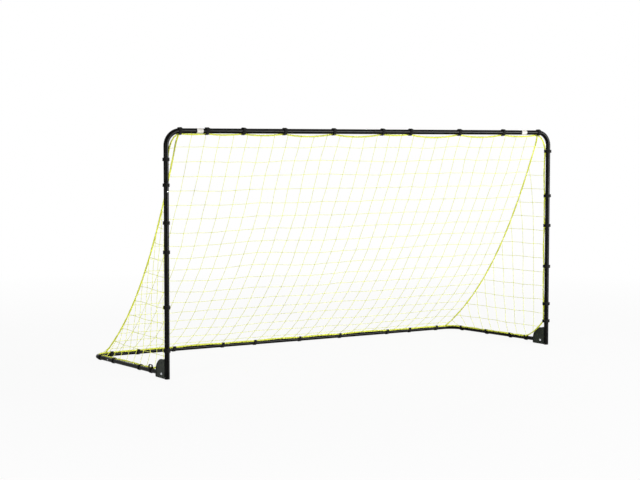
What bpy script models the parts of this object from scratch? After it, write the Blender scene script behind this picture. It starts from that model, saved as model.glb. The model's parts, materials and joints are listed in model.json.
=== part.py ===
"""Folding soccer goal: a steel front frame, a base frame that folds up against it, and a knotted net.

Metres. +X runs right along the crossbar, +Y from the mouth to the back of the net, +Z up. The goal
stands on Z = 0 with the middle of its footprint at the origin.
"""

import math

import bmesh
import bpy
from mathutils import Matrix, Vector

# Overall size, over the tubes and between tube centre lines
GOAL_WIDTH = 3.66
GOAL_HEIGHT = 1.83
BASE_DEPTH = 1.30

# Tubes and how their sections plug together
FRONT_TUBE = 0.038
BASE_TUBE = 0.032
TUBE_WALL = 0.0015
TUBE_SIDES = 12
BEND_RADIUS = 0.11
BEND_STEPS = 5
SPIGOT_LENGTH = 0.085
SPIGOT_CLEARANCE = 0.0003
SWAGE_LENGTH = 0.004
POST_JOINT_HEIGHT = 1.438
CROSSBAR_CORNER_LEG = 0.245
RAIL_CORNER_LEG = 0.245
SIDE_CORNER_LEG = 0.24

# Hinges, measured back from the post's centre line
PIVOT_BACK = 0.052
PIVOT_HEIGHT = 0.036
LOCK_RADIUS = 0.080
PLATE_THICKNESS = 0.003
PLATE_PLAY = 0.0005
PLATE_HEIGHT = 0.146
PLATE_BOTTOM = 0.003
PLATE_REAR_EDGE = 0.039
PLATE_EDGE_MARGIN = 0.0145
PLATE_ARC_STEPS = 6
LIP_HEIGHT = 0.004
LIP_WIDTH = 0.003
LIP_PROUD = 0.0005
BOLT = 0.008
BOLT_HEAD_WIDTH = 0.013
BOLT_HEAD_HEIGHT = 0.0053
NUT_HEIGHT = 0.0065
BOLT_END = 0.002
SIDE_TUBE_TAIL = 0.022

# Plugs
FOOT_PLUG_FLANGE = 0.004
FOOT_PLUG_DEPTH = 0.020
TUBE_PLUG_FLANGE = 0.002
TUBE_PLUG_DEPTH = 0.014

# Snap buttons and lock buttons, with their leaf springs
BUTTON = 0.008
BUTTON_SETBACK = 0.067
BUTTON_PROUD = 0.003
BUTTON_DOME = 0.0015
HOLE_CLEARANCE = 0.0003
LEAF_LENGTH = 0.045
LEAF_WIDTH = 0.0074
LEAF_THICKNESS = 0.0008
LEAF_CLEARANCE = 0.0024
LOCK_HEAD_LENGTH = 0.0085
LOCK_FLANGE = 0.010
LOCK_FLANGE_THICKNESS = 0.001
ROUND_SIDES = 10

# Label bands on the crossbar
LABEL_WIDTH = 0.052
LABEL_FROM_JOINT = 0.002
LABEL_THICKNESS = 0.0004

# Hem rope and the straps that hold it. Those of the crossbar and the rail are set in from the posts
# and side tubes, the corners' from the crossbar and the rail, and the rest from the ground or the post
HEM_ROPE = 0.007
HEM_STANDOFF = 0.0015
HEM_SIDES = 6
STRAP_WIDTH = 0.025
STRAP_THICKNESS = 0.003
STRAP_SIDES = 8
CROSSBAR_STRAPS = {"left": (0.125, 0.337, 0.646, 1.004, 1.448), "right": (0.125, 0.492, 0.950, 1.442, 1.714)}
RAIL_STRAPS = {"left": (0.155, 0.393, 0.720, 1.177, 1.491), "right": (0.204, 0.504, 0.754, 1.264, 1.681)}
TOP_CORNER_STRAPS = {"left": 0.207, "right": 0.158}
POST_STRAPS = {"left": (0.210, 0.527, 0.930, 1.143, 1.417), "right": (0.204, 0.352, 0.673, 1.022, 1.274)}
SIDE_STRAPS = {"left": (0.260, 0.455, 0.916), "right": (0.260, 0.470, 0.800)}
REAR_CORNER_STRAP = 0.135
HEM_TAIL = 0.016
CROSSBAR_HEM_ANGLE = math.radians(-60)
POST_HEM_ANGLE = math.radians(37)

# Net
NET_CORD = 0.004
NET_COLUMNS = 18
NET_ROWS = 10
SIDE_NET_COLUMNS = 3
SEAM_ROPE = 0.007
SEAM_INSET = 0.10
SEAM_STEPS = 12
NET_SAG = 0.17
NET_SAG_SKEW = 0.25
SIDE_NET_CUT = 0.035

# Smallest gap between pieces that touch
GAP = 0.0003

X_AXIS, Y_AXIS, Z_AXIS = Vector((1, 0, 0)), Vector((0, 1, 0)), Vector((0, 0, 1))
SIDES = (("left", -1), ("right", 1))


def polygon_radius(inscribed, sides):
    """Corner radius of a polygon whose flats lie at the inscribed radius."""
    return inscribed / math.cos(math.pi / sides)


front_radius = FRONT_TUBE / 2
base_radius = BASE_TUBE / 2
front_strap_bore = polygon_radius(front_radius + GAP, STRAP_SIDES)
base_strap_bore = polygon_radius(base_radius + GAP, STRAP_SIDES)
front_reach = front_strap_bore + STRAP_THICKNESS
rear_reach = base_strap_bore + STRAP_THICKNESS

# The footprint runs from the front of the post straps to the back of the rail straps
post_x = GOAL_WIDTH / 2 - front_radius
post_y = (front_reach - BASE_DEPTH - rear_reach) / 2
crossbar_z = GOAL_HEIGHT - front_radius
rail_z = rear_reach
base_arm = math.hypot(BASE_DEPTH - PIVOT_BACK, PIVOT_HEIGHT - rail_z)
rest_tilt = math.atan2(PIVOT_HEIGHT - rail_z, BASE_DEPTH - PIVOT_BACK)


def clear_scene():
    for obj in list(bpy.data.objects):
        bpy.data.objects.remove(obj, do_unlink=True)


def new_collection(name):
    collection = bpy.data.collections.new(name)
    bpy.context.scene.collection.children.link(collection)
    return collection


def new_material(name, colour, roughness, metallic=0.0):
    material = bpy.data.materials.new(name)
    material.use_nodes = True
    shader = material.node_tree.nodes["Principled BSDF"]
    shader.inputs["Base Color"].default_value = (*colour, 1)
    shader.inputs["Roughness"].default_value = roughness
    shader.inputs["Metallic"].default_value = metallic
    return material


clear_scene()
goal = new_collection("folding_soccer_goal")
helpers = new_collection("cutters_and_guides")
black_tube = new_material("black_powder_coat", (0.018, 0.016, 0.016), 0.45)
grey_plate = new_material("dark_grey_coated_plate", (0.030, 0.032, 0.030), 0.5)
bright_zinc = new_material("bright_zinc", (0.75, 0.76, 0.77), 0.3, 1.0)
spring_steel = new_material("spring_steel", (0.35, 0.35, 0.36), 0.35, 1.0)
black_plastic = new_material("black_polyethylene", (0.015, 0.015, 0.015), 0.6)
white_label = new_material("white_vinyl_label", (0.82, 0.82, 0.80), 0.5)
yellow_twine = new_material("yellow_net_twine", (0.72, 0.86, 0.05), 0.7)
yellow_rope = new_material("yellow_hem_rope", (0.80, 0.84, 0.04), 0.7)


def stand(origin, z_axis, x_axis):
    """Matrix that sets local Z along z_axis and local X along x_axis, which is square to it."""
    z = Vector(z_axis).normalized()
    x = Vector(x_axis).normalized()
    turn = Matrix((x, z.cross(x), z)).transposed()
    return Matrix.Translation(origin) @ turn.to_4x4()


def add(name, data, place, material, parent=None):
    obj = bpy.data.objects.new(name, data)
    goal.objects.link(obj)
    obj.parent = parent
    obj.matrix_local = place
    if not data.materials:
        data.materials.append(material)
    return obj


def add_helper(name, mesh, place, parent=None):
    """A shape that only cuts or joins others."""
    obj = bpy.data.objects.new(name, mesh)
    helpers.objects.link(obj)
    obj.parent = parent
    obj.matrix_local = place
    obj.hide_render = True
    obj.display_type = "WIRE"
    return obj


def finish_mesh(name, bm):
    bmesh.ops.recalc_face_normals(bm, faces=bm.faces)
    mesh = bpy.data.meshes.new(name)
    bm.to_mesh(mesh)
    bm.free()
    return mesh


def shade(mesh):
    mesh.shade_smooth()
    mesh.set_sharp_from_angle(angle=math.radians(35))


def bake(obj):
    """The evaluated mesh of an object, its doubles merged. The object is removed."""
    graph = bpy.context.evaluated_depsgraph_get()
    mesh = bpy.data.meshes.new_from_object(obj.evaluated_get(graph))
    bpy.data.objects.remove(obj)
    bm = bmesh.new()
    bm.from_mesh(mesh)
    bmesh.ops.remove_doubles(bm, verts=bm.verts, dist=1e-6)
    bm.to_mesh(mesh)
    bm.free()
    mesh.materials.clear()
    shade(mesh)
    return mesh


def join_shape(obj, other, operation):
    boolean = obj.modifiers.new(operation.lower(), "BOOLEAN")
    boolean.operation = operation
    boolean.solver = "EXACT"
    boolean.object = other


def turned(name, outline, place, material, parent=None, sides=TUBE_SIDES):
    """Turned piece about local Z. The outline of (radius, height) starts down its outer side."""
    closed = outline[0][0] > 0
    mesh = bpy.data.meshes.new(name)
    edges = [(i, i + 1) for i in range(len(outline) - 1)]
    if closed:
        edges.append((len(outline) - 1, 0))
    mesh.from_pydata([(radius, 0, height) for radius, height in outline], edges, [])
    obj = add(name, mesh, place, material, parent)
    screw = obj.modifiers.new("turn", "SCREW")
    screw.steps = sides
    screw.render_steps = sides
    screw.use_merge_vertices = True
    screw.merge_threshold = 0.00001
    screw.use_smooth_shade = True
    return obj


def poly_curve(name, points, dimensions="3D", cyclic=False, curve=None):
    """Curve of straight pieces through the points, added to a given curve or a new one."""
    curve = curve or bpy.data.curves.new(name, "CURVE")
    curve.dimensions = dimensions
    spline = curve.splines.new("POLY")
    spline.points.add(len(points) - 1)
    spline.use_cyclic_u = cyclic
    for point, place in zip(spline.points, points):
        point.co = (*place, *([0] * (3 - len(place))), 1)
    return curve


def circle_points(centre, radius, sides=ROUND_SIDES):
    turns = (2 * math.pi * i / sides for i in range(sides))
    return [(centre[0] + radius * math.cos(a), centre[1] + radius * math.sin(a)) for a in turns]


def flat_mesh(name, outlines, thickness):
    """Flat piece in local XY: the first outline less those inside it, centred on its thickness."""
    curve = None
    for outline in outlines:
        curve = poly_curve(name, outline, "2D", True, curve)
    curve.fill_mode = "BOTH"
    curve.extrude = thickness / 2
    return bake(add_helper(name, curve, Matrix.Identity(4)))


def drill(name, place, start, end, radius, targets, parent=None):
    """Round hole along local Z of place, cut from every target."""
    bm = bmesh.new()
    middle = Matrix.Translation((0, 0, (start + end) / 2))
    bmesh.ops.create_cone(
        bm, cap_ends=True, segments=ROUND_SIDES, radius1=radius, radius2=radius, depth=end - start, matrix=middle
    )
    cutter = add_helper(name, finish_mesh(name, bm), place, parent)
    for target in targets:
        join_shape(target, cutter, "DIFFERENCE")


# Tubes

def spigot_radius(radius):
    bore = (radius - TUBE_WALL) * math.cos(math.pi / TUBE_SIDES)
    return bore - SPIGOT_CLEARANCE


def straight_tube(name, start, end, radius, parent=None, spigot=False):
    """Tube from start to end. A spigot is swaged down at its start and runs back into the next tube."""
    length = (end - start).length
    bore = radius - TUBE_WALL
    neck = spigot_radius(radius)
    if spigot:
        outline = [(radius, length), (radius, SWAGE_LENGTH), (neck, 0), (neck, -SPIGOT_LENGTH)]
        outline += [(neck - TUBE_WALL, -SPIGOT_LENGTH), (neck - TUBE_WALL, 0), (bore, SWAGE_LENGTH), (bore, length)]
    else:
        outline = [(radius, length), (radius, 0), (bore, 0), (bore, length)]
    axis = end - start
    return turned(name, outline, stand(start, axis, axis.orthogonal()), black_tube, parent)


def corner_tube(name, corner, leg_a, leg_b, radius, parent=None):
    """Bent tube with a swaged spigot at each end. Each leg is a vector from the corner to its joint."""
    a, b = leg_a.normalized(), leg_b.normalized()
    centre = corner + (a + b) * BEND_RADIUS
    bend = []
    for i in range(BEND_STEPS + 1):
        turn = math.pi / 2 * i / BEND_STEPS
        bend.append(centre - (b * math.cos(turn) + a * math.sin(turn)) * BEND_RADIUS)

    def leg(joint, direction):
        return [joint + direction * SPIGOT_LENGTH, joint, joint - direction * SWAGE_LENGTH]

    points = leg(corner + leg_a, a) + bend + leg(corner + leg_b, b)[::-1]
    curve = poly_curve(name, points)
    curve.bevel_depth = radius
    curve.bevel_resolution = TUBE_SIDES // 2 - 2
    swaged = spigot_radius(radius) / radius
    for i in (0, 1, -2, -1):
        curve.splines[0].points[i].radius = swaged
    tube = add(name, bake(add_helper(name, curve, Matrix.Identity(4))), Matrix.Identity(4), black_tube, parent)
    shell = tube.modifiers.new("wall", "SOLIDIFY")
    shell.thickness = TUBE_WALL
    shell.offset = -1
    return tube


base_frame = bpy.data.objects.new("base_frame_pivot", None)
goal.objects.link(base_frame)
base_frame.location = (0, post_y + PIVOT_BACK, PIVOT_HEIGHT)
base_frame.rotation_euler = (-rest_tilt, 0, 0)

post_joint_leg = crossbar_z - POST_JOINT_HEIGHT
crossbar_joint_x = post_x - CROSSBAR_CORNER_LEG
rail_joint_x = post_x - RAIL_CORNER_LEG
side_joint_y = base_arm - SIDE_CORNER_LEG
posts, top_corners, side_tubes, rear_corners = {}, {}, {}, {}
for side, sign in SIDES:
    x = sign * post_x
    inward = Vector((-sign, 0, 0))
    foot = Vector((x, post_y, FOOT_PLUG_FLANGE + GAP))
    posts[side] = straight_tube(f"{side}_post", foot, Vector((x, post_y, POST_JOINT_HEIGHT - GAP)), front_radius)
    top_corners[side] = corner_tube(
        f"{side}_top_corner",
        Vector((x, post_y, crossbar_z)),
        inward * CROSSBAR_CORNER_LEG,
        -Z_AXIS * post_joint_leg,
        front_radius,
    )
    side_tubes[side] = straight_tube(
        f"{side}_side_tube",
        Vector((x, -SIDE_TUBE_TAIL, 0)),
        Vector((x, side_joint_y - GAP, 0)),
        base_radius,
        base_frame,
    )
    rear_corners[side] = corner_tube(
        f"{side}_rear_corner",
        Vector((x, base_arm, 0)),
        inward * RAIL_CORNER_LEG,
        -Y_AXIS * SIDE_CORNER_LEG,
        base_radius,
        base_frame,
    )


def split_rail(names, joint_x, y, z, radius, parent=None):
    """A pair of tubes that meet at the centre, where the right one's spigot enters the left one."""
    left = straight_tube(names[0], Vector((-joint_x + GAP, y, z)), Vector((-GAP, y, z)), radius, parent)
    right = straight_tube(names[1], Vector((0, y, z)), Vector((joint_x - GAP, y, z)), radius, parent, True)
    return {"left": left, "right": right}


crossbars = split_rail(("left_crossbar", "right_crossbar"), crossbar_joint_x, post_y, crossbar_z, front_radius)
rails = split_rail(("left_rear_rail", "right_rear_rail"), rail_joint_x, base_arm, 0, base_radius, base_frame)


# Plugs that close the tube ends

def end_plug(name, place, radius, flange, depth, parent=None):
    """Push-in plug. Local Z points into the tube, whose end rests on the flange at Z = 0."""
    insert = (radius - TUBE_WALL) * math.cos(math.pi / TUBE_SIDES) - GAP
    chamfer = flange / 4
    outline = [(0, depth), (insert - chamfer, depth), (insert, depth - chamfer), (insert, 0)]
    outline += [(radius, 0), (radius, chamfer - flange), (radius - chamfer, -flange), (0, -flange)]
    return turned(name, outline, place, black_plastic, parent)


for side, sign in SIDES:
    foot = Vector((sign * post_x, post_y, FOOT_PLUG_FLANGE))
    place = stand(foot, Z_AXIS, X_AXIS)
    end_plug(f"{side}_foot_plug", place, front_radius, FOOT_PLUG_FLANGE, FOOT_PLUG_DEPTH)
    tail = Vector((sign * post_x, -SIDE_TUBE_TAIL - GAP, 0))
    place = stand(tail, Y_AXIS, X_AXIS)
    end_plug(f"{side}_side_tube_plug", place, base_radius, TUBE_PLUG_FLANGE, TUBE_PLUG_DEPTH, base_frame)


# Hinge plates: stamped quarter rounds, two at each post, with a turned-out lip round their edge

plate_inner_face = base_radius + PLATE_PLAY
plate_outer_face = plate_inner_face + PLATE_THICKNESS
plate_front = math.sqrt(max(front_radius**2 - plate_inner_face**2, 0)) + GAP
plate_rear = PIVOT_BACK + LOCK_RADIUS + PLATE_EDGE_MARGIN
plate_arc = PLATE_HEIGHT - PLATE_BOTTOM - PLATE_REAR_EDGE
plate_arc_centre = (plate_rear - plate_arc, PLATE_HEIGHT - plate_arc)
pivot_hole = (PIVOT_BACK, PIVOT_HEIGHT)
open_lock_hole = (PIVOT_BACK + LOCK_RADIUS * math.cos(rest_tilt), PIVOT_HEIGHT - LOCK_RADIUS * math.sin(rest_tilt))
folded_lock_hole = (PIVOT_BACK, PIVOT_HEIGHT + LOCK_RADIUS)
bolt_hole_radius = polygon_radius(BOLT / 2 + HOLE_CLEARANCE, ROUND_SIDES)
button_hole_radius = polygon_radius(BUTTON / 2 + HOLE_CLEARANCE, ROUND_SIDES)


def plate_edge(inset, front, bottom):
    """The plate's rear and upper edge, from its lower rear corner to its upper front corner."""
    y, z = plate_arc_centre
    radius = plate_arc - inset
    turns = [math.pi / 2 * i / PLATE_ARC_STEPS for i in range(PLATE_ARC_STEPS + 1)]
    arc = [(y + radius * math.cos(turn), z + radius * math.sin(turn)) for turn in turns]
    return [(arc[0][0], bottom), *arc, (front, arc[-1][1])]


plate_outline = [(plate_front, PLATE_BOTTOM), *plate_edge(0, plate_front, PLATE_BOTTOM)]
holes = [circle_points(pivot_hole, bolt_hole_radius)]
holes += [circle_points(hole, button_hole_radius) for hole in (open_lock_hole, folded_lock_hole)]
lip_front = plate_front + LIP_WIDTH
lip_bottom = PLATE_BOTTOM + LIP_WIDTH
lip_outline = plate_edge(-LIP_PROUD, lip_front, lip_bottom) + plate_edge(LIP_WIDTH, lip_front, lip_bottom)[::-1]
for side, sign in SIDES:
    for face, out in (("outer", sign), ("inner", -sign)):
        name = f"{side}_hinge_plate_{face}"
        middle = sign * post_x + out * (plate_inner_face + plate_outer_face) / 2
        place = stand((middle, post_y, 0), X_AXIS, Y_AXIS)
        plate = add(name, flat_mesh(name, [plate_outline, *holes], PLATE_THICKNESS), place, grey_plate)
        lip_depth = PLATE_THICKNESS / 2 + LIP_HEIGHT
        lip_place = place @ Matrix.Translation((0, 0, out * lip_depth / 2))
        join_shape(plate, add_helper(f"{name}_lip", flat_mesh(name, [lip_outline], lip_depth), lip_place), "UNION")


# Pivot bolts and nuts

def bolt_mesh():
    """Hexagon bolt with its head under Z = 0 and its shank up local Z."""
    head = bmesh.new()
    place = Matrix.Translation((0, 0, -BOLT_HEAD_HEIGHT / 2))
    corner = polygon_radius(BOLT_HEAD_WIDTH / 2, 6)
    bmesh.ops.create_cone(
        head, cap_ends=True, segments=6, radius1=corner, radius2=corner, depth=BOLT_HEAD_HEIGHT, matrix=place
    )
    bolt = add("bolt", finish_mesh("bolt", head), Matrix.Identity(4), bright_zinc)
    shank = bmesh.new()
    bottom = -BOLT_HEAD_HEIGHT / 2
    place = Matrix.Translation((0, 0, (bolt_length + bottom) / 2))
    bmesh.ops.create_cone(
        shank, cap_ends=True, segments=ROUND_SIDES, radius1=BOLT / 2, radius2=BOLT / 2,
        depth=bolt_length - bottom, matrix=place,
    )
    join_shape(bolt, add_helper("bolt_shank", finish_mesh("bolt_shank", shank), Matrix.Identity(4)), "UNION")
    return bake(bolt)


plate_span = 2 * plate_outer_face + 2 * GAP
bolt_length = plate_span + GAP + NUT_HEIGHT + BOLT_END
bolt = bolt_mesh()
nut_outline = circle_points((0, 0), polygon_radius(BOLT_HEAD_WIDTH / 2, 6), 6)
nut_bore = circle_points((0, 0), polygon_radius(BOLT / 2 + GAP, ROUND_SIDES))
nut = flat_mesh("nut", [nut_outline, nut_bore], NUT_HEIGHT)
for side, sign in SIDES:
    inward = Vector((-sign, 0, 0))
    pivot = Vector((sign * post_x, post_y + PIVOT_BACK, PIVOT_HEIGHT))
    head_face = pivot - inward * plate_span / 2
    add(f"{side}_pivot_bolt", bolt, stand(head_face, inward, Y_AXIS), bright_zinc)
    nut_middle = head_face + inward * (plate_span + GAP + NUT_HEIGHT / 2)
    add(f"{side}_pivot_nut", nut, stand(nut_middle, inward, Y_AXIS), bright_zinc)
    through = stand((sign * post_x, 0, 0), X_AXIS, Y_AXIS)
    drill(
        f"{side}_pivot_drill", through, -BASE_TUBE, BASE_TUBE, bolt_hole_radius, [side_tubes[side]], base_frame
    )


# Lock buttons: two in each side tube, pressed in at rest, with a V spring between them

def leaf_spring(name, height, last, place, parent=None):
    """Bent strip with its apex on local +X. It runs from the height given to that times last."""
    steps = 7
    first = 1.05 if last > -1 else 1
    turns = [first + (last - first) * i / steps for i in range(steps + 1)]
    strip = poly_curve(name, [(LEAF_LENGTH * (1 - turn**2), height * turn) for turn in turns], "2D")
    strip.fill_mode = "NONE"
    strip.extrude = LEAF_WIDTH / 2
    mesh = bake(add_helper(name, strip, Matrix.Identity(4)))
    mesh.transform(Matrix.Rotation(math.pi / 2, 4, "X"))
    leaf = add_helper(name, mesh, place, parent)
    wall = leaf.modifiers.new("wall", "SOLIDIFY")
    wall.thickness = LEAF_THICKNESS
    wall.offset = 0
    return leaf


lock_top = base_radius - GAP
lock_bottom = lock_top - LOCK_HEAD_LENGTH
lock_outline = [(0, lock_top), (BUTTON / 2 - BUTTON_DOME / 2, lock_top), (BUTTON / 2, lock_top - BUTTON_DOME / 2)]
lock_outline += [(BUTTON / 2, lock_bottom + LOCK_FLANGE_THICKNESS), (LOCK_FLANGE / 2, lock_bottom + LOCK_FLANGE_THICKNESS)]
lock_outline += [(LOCK_FLANGE / 2, lock_bottom), (0, lock_bottom)]
for side, sign in SIDES:
    centre = Vector((sign * post_x, LOCK_RADIUS, 0))
    for face, out in (("outer", sign), ("inner", -sign)):
        place = stand(centre, X_AXIS * out, Y_AXIS)
        turned(f"{side}_lock_button_{face}", lock_outline, place, bright_zinc, base_frame, ROUND_SIDES)
    through = stand(centre, X_AXIS, Y_AXIS)
    drill(f"{side}_lock_drill", through, -BASE_TUBE, BASE_TUBE, button_hole_radius, [side_tubes[side]], base_frame)
    arm = lock_bottom - GAP - LEAF_THICKNESS / 2 - LEAF_THICKNESS
    spring = leaf_spring(f"{side}_lock_spring", arm, -1, Matrix.Identity(4))
    mesh = bake(spring)
    add(f"{side}_lock_spring", mesh, stand(centre, X_AXIS, Y_AXIS), spring_steel, base_frame)


# Snap buttons at the tube joints

def snap_button_mesh(radius):
    """Domed button on its leaf spring. Local Z points out of the tube and +X along the spring."""
    height = spigot_radius(radius) - TUBE_WALL - LEAF_CLEARANCE
    top = radius + BUTTON_PROUD
    outline = [(0, top), (BUTTON / 4, top - BUTTON_DOME / 4), (BUTTON / 2, top - BUTTON_DOME)]
    outline += [(BUTTON / 2, height - LEAF_THICKNESS), (0, height - LEAF_THICKNESS)]
    button = turned("button", outline, Matrix.Identity(4), bright_zinc, None, ROUND_SIDES)
    join_shape(button, leaf_spring("button_spring", height, -0.7, Matrix.Identity(4)), "UNION")
    return bake(button)


front_button = snap_button_mesh(front_radius)
base_button = snap_button_mesh(base_radius)


def snap_button(name, joint, into, facing, tubes, radius, mesh, parent=None):
    """Button set back from a joint, inside the tube that the spigot enters."""
    place = stand(joint + into * BUTTON_SETBACK, facing, -into)
    add(name, mesh, place, bright_zinc, parent)
    drill(f"{name}_drill", place, radius / 2, radius + BUTTON_PROUD, button_hole_radius, tubes, parent)


for side, sign in SIDES:
    inward = Vector((-sign, 0, 0))
    post_joint = Vector((sign * post_x, post_y, POST_JOINT_HEIGHT))
    post_tubes = [posts[side], top_corners[side]]
    snap_button(f"{side}_post_button", post_joint, -Z_AXIS, Y_AXIS * sign, post_tubes, front_radius, front_button)
    bar_joint = Vector((sign * crossbar_joint_x, post_y, crossbar_z))
    bar_tubes = [crossbars[side], top_corners[side]]
    snap_button(f"{side}_crossbar_button", bar_joint, inward, Z_AXIS, bar_tubes, front_radius, front_button)
    side_joint = Vector((sign * post_x, side_joint_y, 0))
    base_tubes = [side_tubes[side], rear_corners[side]]
    snap_button(
        f"{side}_side_button", side_joint, -Y_AXIS, -inward, base_tubes, base_radius, base_button, base_frame
    )
    rail_joint = Vector((sign * rail_joint_x, base_arm, 0))
    rail_tubes = [rails[side], rear_corners[side]]
    snap_button(f"{side}_rail_button", rail_joint, inward, Y_AXIS, rail_tubes, base_radius, base_button, base_frame)

centre_joint = Vector((0, post_y, crossbar_z))
snap_button(
    "centre_crossbar_button", centre_joint, -X_AXIS, Z_AXIS, list(crossbars.values()), front_radius, front_button
)
centre_joint = Vector((0, base_arm, 0))
snap_button(
    "centre_rail_button", centre_joint, -X_AXIS, Y_AXIS, list(rails.values()), base_radius, base_button, base_frame
)


# Plain label bands round the crossbar, beside its outer joints

for side, sign in SIDES:
    bore = polygon_radius(front_radius + GAP, TUBE_SIDES)
    outside = bore + LABEL_THICKNESS
    outline = [(outside, LABEL_WIDTH), (outside, 0), (bore, 0), (bore, LABEL_WIDTH)]
    start = Vector((sign * (crossbar_joint_x - LABEL_FROM_JOINT), post_y, crossbar_z))
    turned(f"{side}_label_band", outline, stand(start, X_AXIS * -sign, Z_AXIS), white_label)


# Hem rope along the tubes, with a hook-and-loop strap round rope and tube at each station

def strap_band(bm, bore, lobe, height):
    """Closed strap round local Z, drawn out at +X to take in the rope."""
    place = Matrix.Translation((0, 0, height - STRAP_WIDTH / 2))
    inner = bmesh.ops.create_circle(bm, segments=STRAP_SIDES, radius=bore, matrix=place)["verts"]
    outer = bmesh.ops.create_circle(bm, segments=STRAP_SIDES, radius=bore + STRAP_THICKNESS, matrix=place)["verts"]
    max(outer, key=lambda vert: vert.co.x).co.x = lobe
    edges = {edge for vert in inner + outer for edge in vert.link_edges}
    flat = bmesh.ops.bridge_loops(bm, edges=list(edges))["faces"]
    raised = bmesh.ops.extrude_face_region(bm, geom=flat)["geom"]
    verts = [item for item in raised if isinstance(item, bmesh.types.BMVert)]
    bmesh.ops.translate(bm, vec=(0, 0, STRAP_WIDTH), verts=verts)


def hem_centre(radius):
    return radius + HEM_STANDOFF + HEM_ROPE / 2


def hem_lobe(radius):
    return hem_centre(radius) + HEM_ROPE / 2 + STRAP_THICKNESS


def add_hem(name, origin, axis, side, stations, radius, parent=None):
    """Rope on one side of a straight tube, from just past the first strap to just past the last."""
    place = stand(origin, axis, side)
    low, high = min(stations) - HEM_TAIL, max(stations) + HEM_TAIL
    rope = bmesh.new()
    middle = Matrix.Translation((hem_centre(radius), 0, (low + high) / 2))
    bmesh.ops.create_cone(
        rope, cap_ends=True, segments=HEM_SIDES, radius1=HEM_ROPE / 2, radius2=HEM_ROPE / 2,
        depth=high - low, matrix=middle,
    )
    hem = add(name, finish_mesh(name, rope), place, yellow_rope, parent)
    straps = bmesh.new()
    bore = polygon_radius(radius + GAP, STRAP_SIDES)
    for station in stations:
        strap_band(straps, bore, hem_lobe(radius), station)
    band = add_helper(f"{name}_bands", finish_mesh(f"{name}_bands", straps), place, parent)
    join_shape(hem, band, "UNION")
    return hem


def cross_stations(straps):
    """Places along X of straps that are set in from each side."""
    return [sign * (post_x - inset) for side, sign in SIDES for inset in straps[side]]


crossbar_hem_side = Vector((0, math.cos(CROSSBAR_HEM_ANGLE), math.sin(CROSSBAR_HEM_ANGLE)))
crossbar_middle = Vector((0, post_y, crossbar_z))
stations = cross_stations(CROSSBAR_STRAPS)
add_hem("crossbar_hem_and_straps", crossbar_middle, X_AXIS, crossbar_hem_side, stations, front_radius)
rail_middle = Vector((0, base_arm, 0))
stations = cross_stations(RAIL_STRAPS)
add_hem("rear_rail_hem_and_straps", rail_middle, X_AXIS, Z_AXIS, stations, base_radius, base_frame)
post_hem_sides = {}
for side, sign in SIDES:
    post_hem_sides[side] = Vector((-sign * math.cos(POST_HEM_ANGLE), math.sin(POST_HEM_ANGLE), 0))
    foot = Vector((sign * post_x, post_y, 0))
    stations = [*POST_STRAPS[side], crossbar_z - TOP_CORNER_STRAPS[side]]
    add_hem(f"{side}_post_hem_and_straps", foot, Z_AXIS, post_hem_sides[side], stations, front_radius)
    start = Vector((sign * post_x, -PIVOT_BACK, 0))
    stations = [*SIDE_STRAPS[side], PIVOT_BACK + base_arm - REAR_CORNER_STRAP]
    add_hem(f"{side}_side_hem_and_straps", start, Y_AXIS, Z_AXIS, stations, base_radius, base_frame)


# Net: a sagging back panel and two side panels, laced to seam ropes where they meet

base_place = Matrix.Translation(base_frame.location) @ Matrix.Rotation(-rest_tilt, 4, "X")
net_top_offset = hem_lobe(front_radius) + GAP + NET_CORD / 2
net_base_offset = hem_lobe(base_radius) + GAP + NET_CORD / 2
seam_x = post_x - SEAM_INSET
net_to_seam = SEAM_ROPE / 2 + GAP + NET_CORD / 2


def back_point(x, drop, top_offset=net_top_offset, base_offset=net_base_offset):
    """Point of the sagging back net at x, from drop 0 at the crossbar to drop 1 at the rear rail."""
    top = crossbar_middle + crossbar_hem_side * top_offset
    bottom = base_place @ Vector((0, base_arm, base_offset))
    chord = bottom - top
    sag = NET_SAG * 4 * drop * (1 - drop) * (1 + NET_SAG_SKEW * (2 * drop - 1))
    point = top + chord * drop + chord.normalized().cross(X_AXIS) * sag
    point.x = x
    return point


def side_front_point(side, sign, drop):
    """Front edge of a side net: down the post, then across the corner to the side tube."""
    x, y, z = Vector((sign * post_x, post_y, 0)) + post_hem_sides[side] * net_top_offset
    top = crossbar_z - BEND_RADIUS
    corner = POST_STRAPS[side][0] - STRAP_WIDTH
    end = base_place @ Vector((0, SIDE_STRAPS[side][0] - PIVOT_BACK - SIDE_NET_CUT, net_base_offset))
    height = top + (end.z - top) * drop
    below = max(0, (corner - height) / (corner - end.z))
    return Vector((x, y + (end.y - y) * below**2, height))


def add_net(name, columns, rows, surface):
    """Net of square gaps over surface(across, down), with across and down from 0 to 1."""
    bm = bmesh.new()
    bmesh.ops.create_grid(bm, x_segments=columns, y_segments=rows, size=1)
    for vert in bm.verts:
        vert.co = surface((vert.co.x + 1) / 2, (1 - vert.co.y) / 2)
    bm.normal_update()
    gaps = list(bm.faces)
    bmesh.ops.inset_individual(bm, faces=gaps, thickness=NET_CORD / 2, use_even_offset=True)
    bmesh.ops.delete(bm, geom=gaps, context="FACES_ONLY")
    net = add(name, finish_mesh(name, bm), Matrix.Identity(4), yellow_twine)
    cord = net.modifiers.new("cord", "SOLIDIFY")
    cord.thickness = NET_CORD
    cord.offset = 0
    return net


half_back = seam_x - net_to_seam
add_net("back_net", NET_COLUMNS, NET_ROWS, lambda across, down: back_point((2 * across - 1) * half_back, down))


def add_side_net(side, sign):
    def surface(across, down):
        front = side_front_point(side, sign, down)
        seam = back_point(sign * (seam_x + net_to_seam), down)
        return front.lerp(seam, across)

    add_net(f"{side}_side_net", SIDE_NET_COLUMNS, NET_ROWS, surface)


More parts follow.
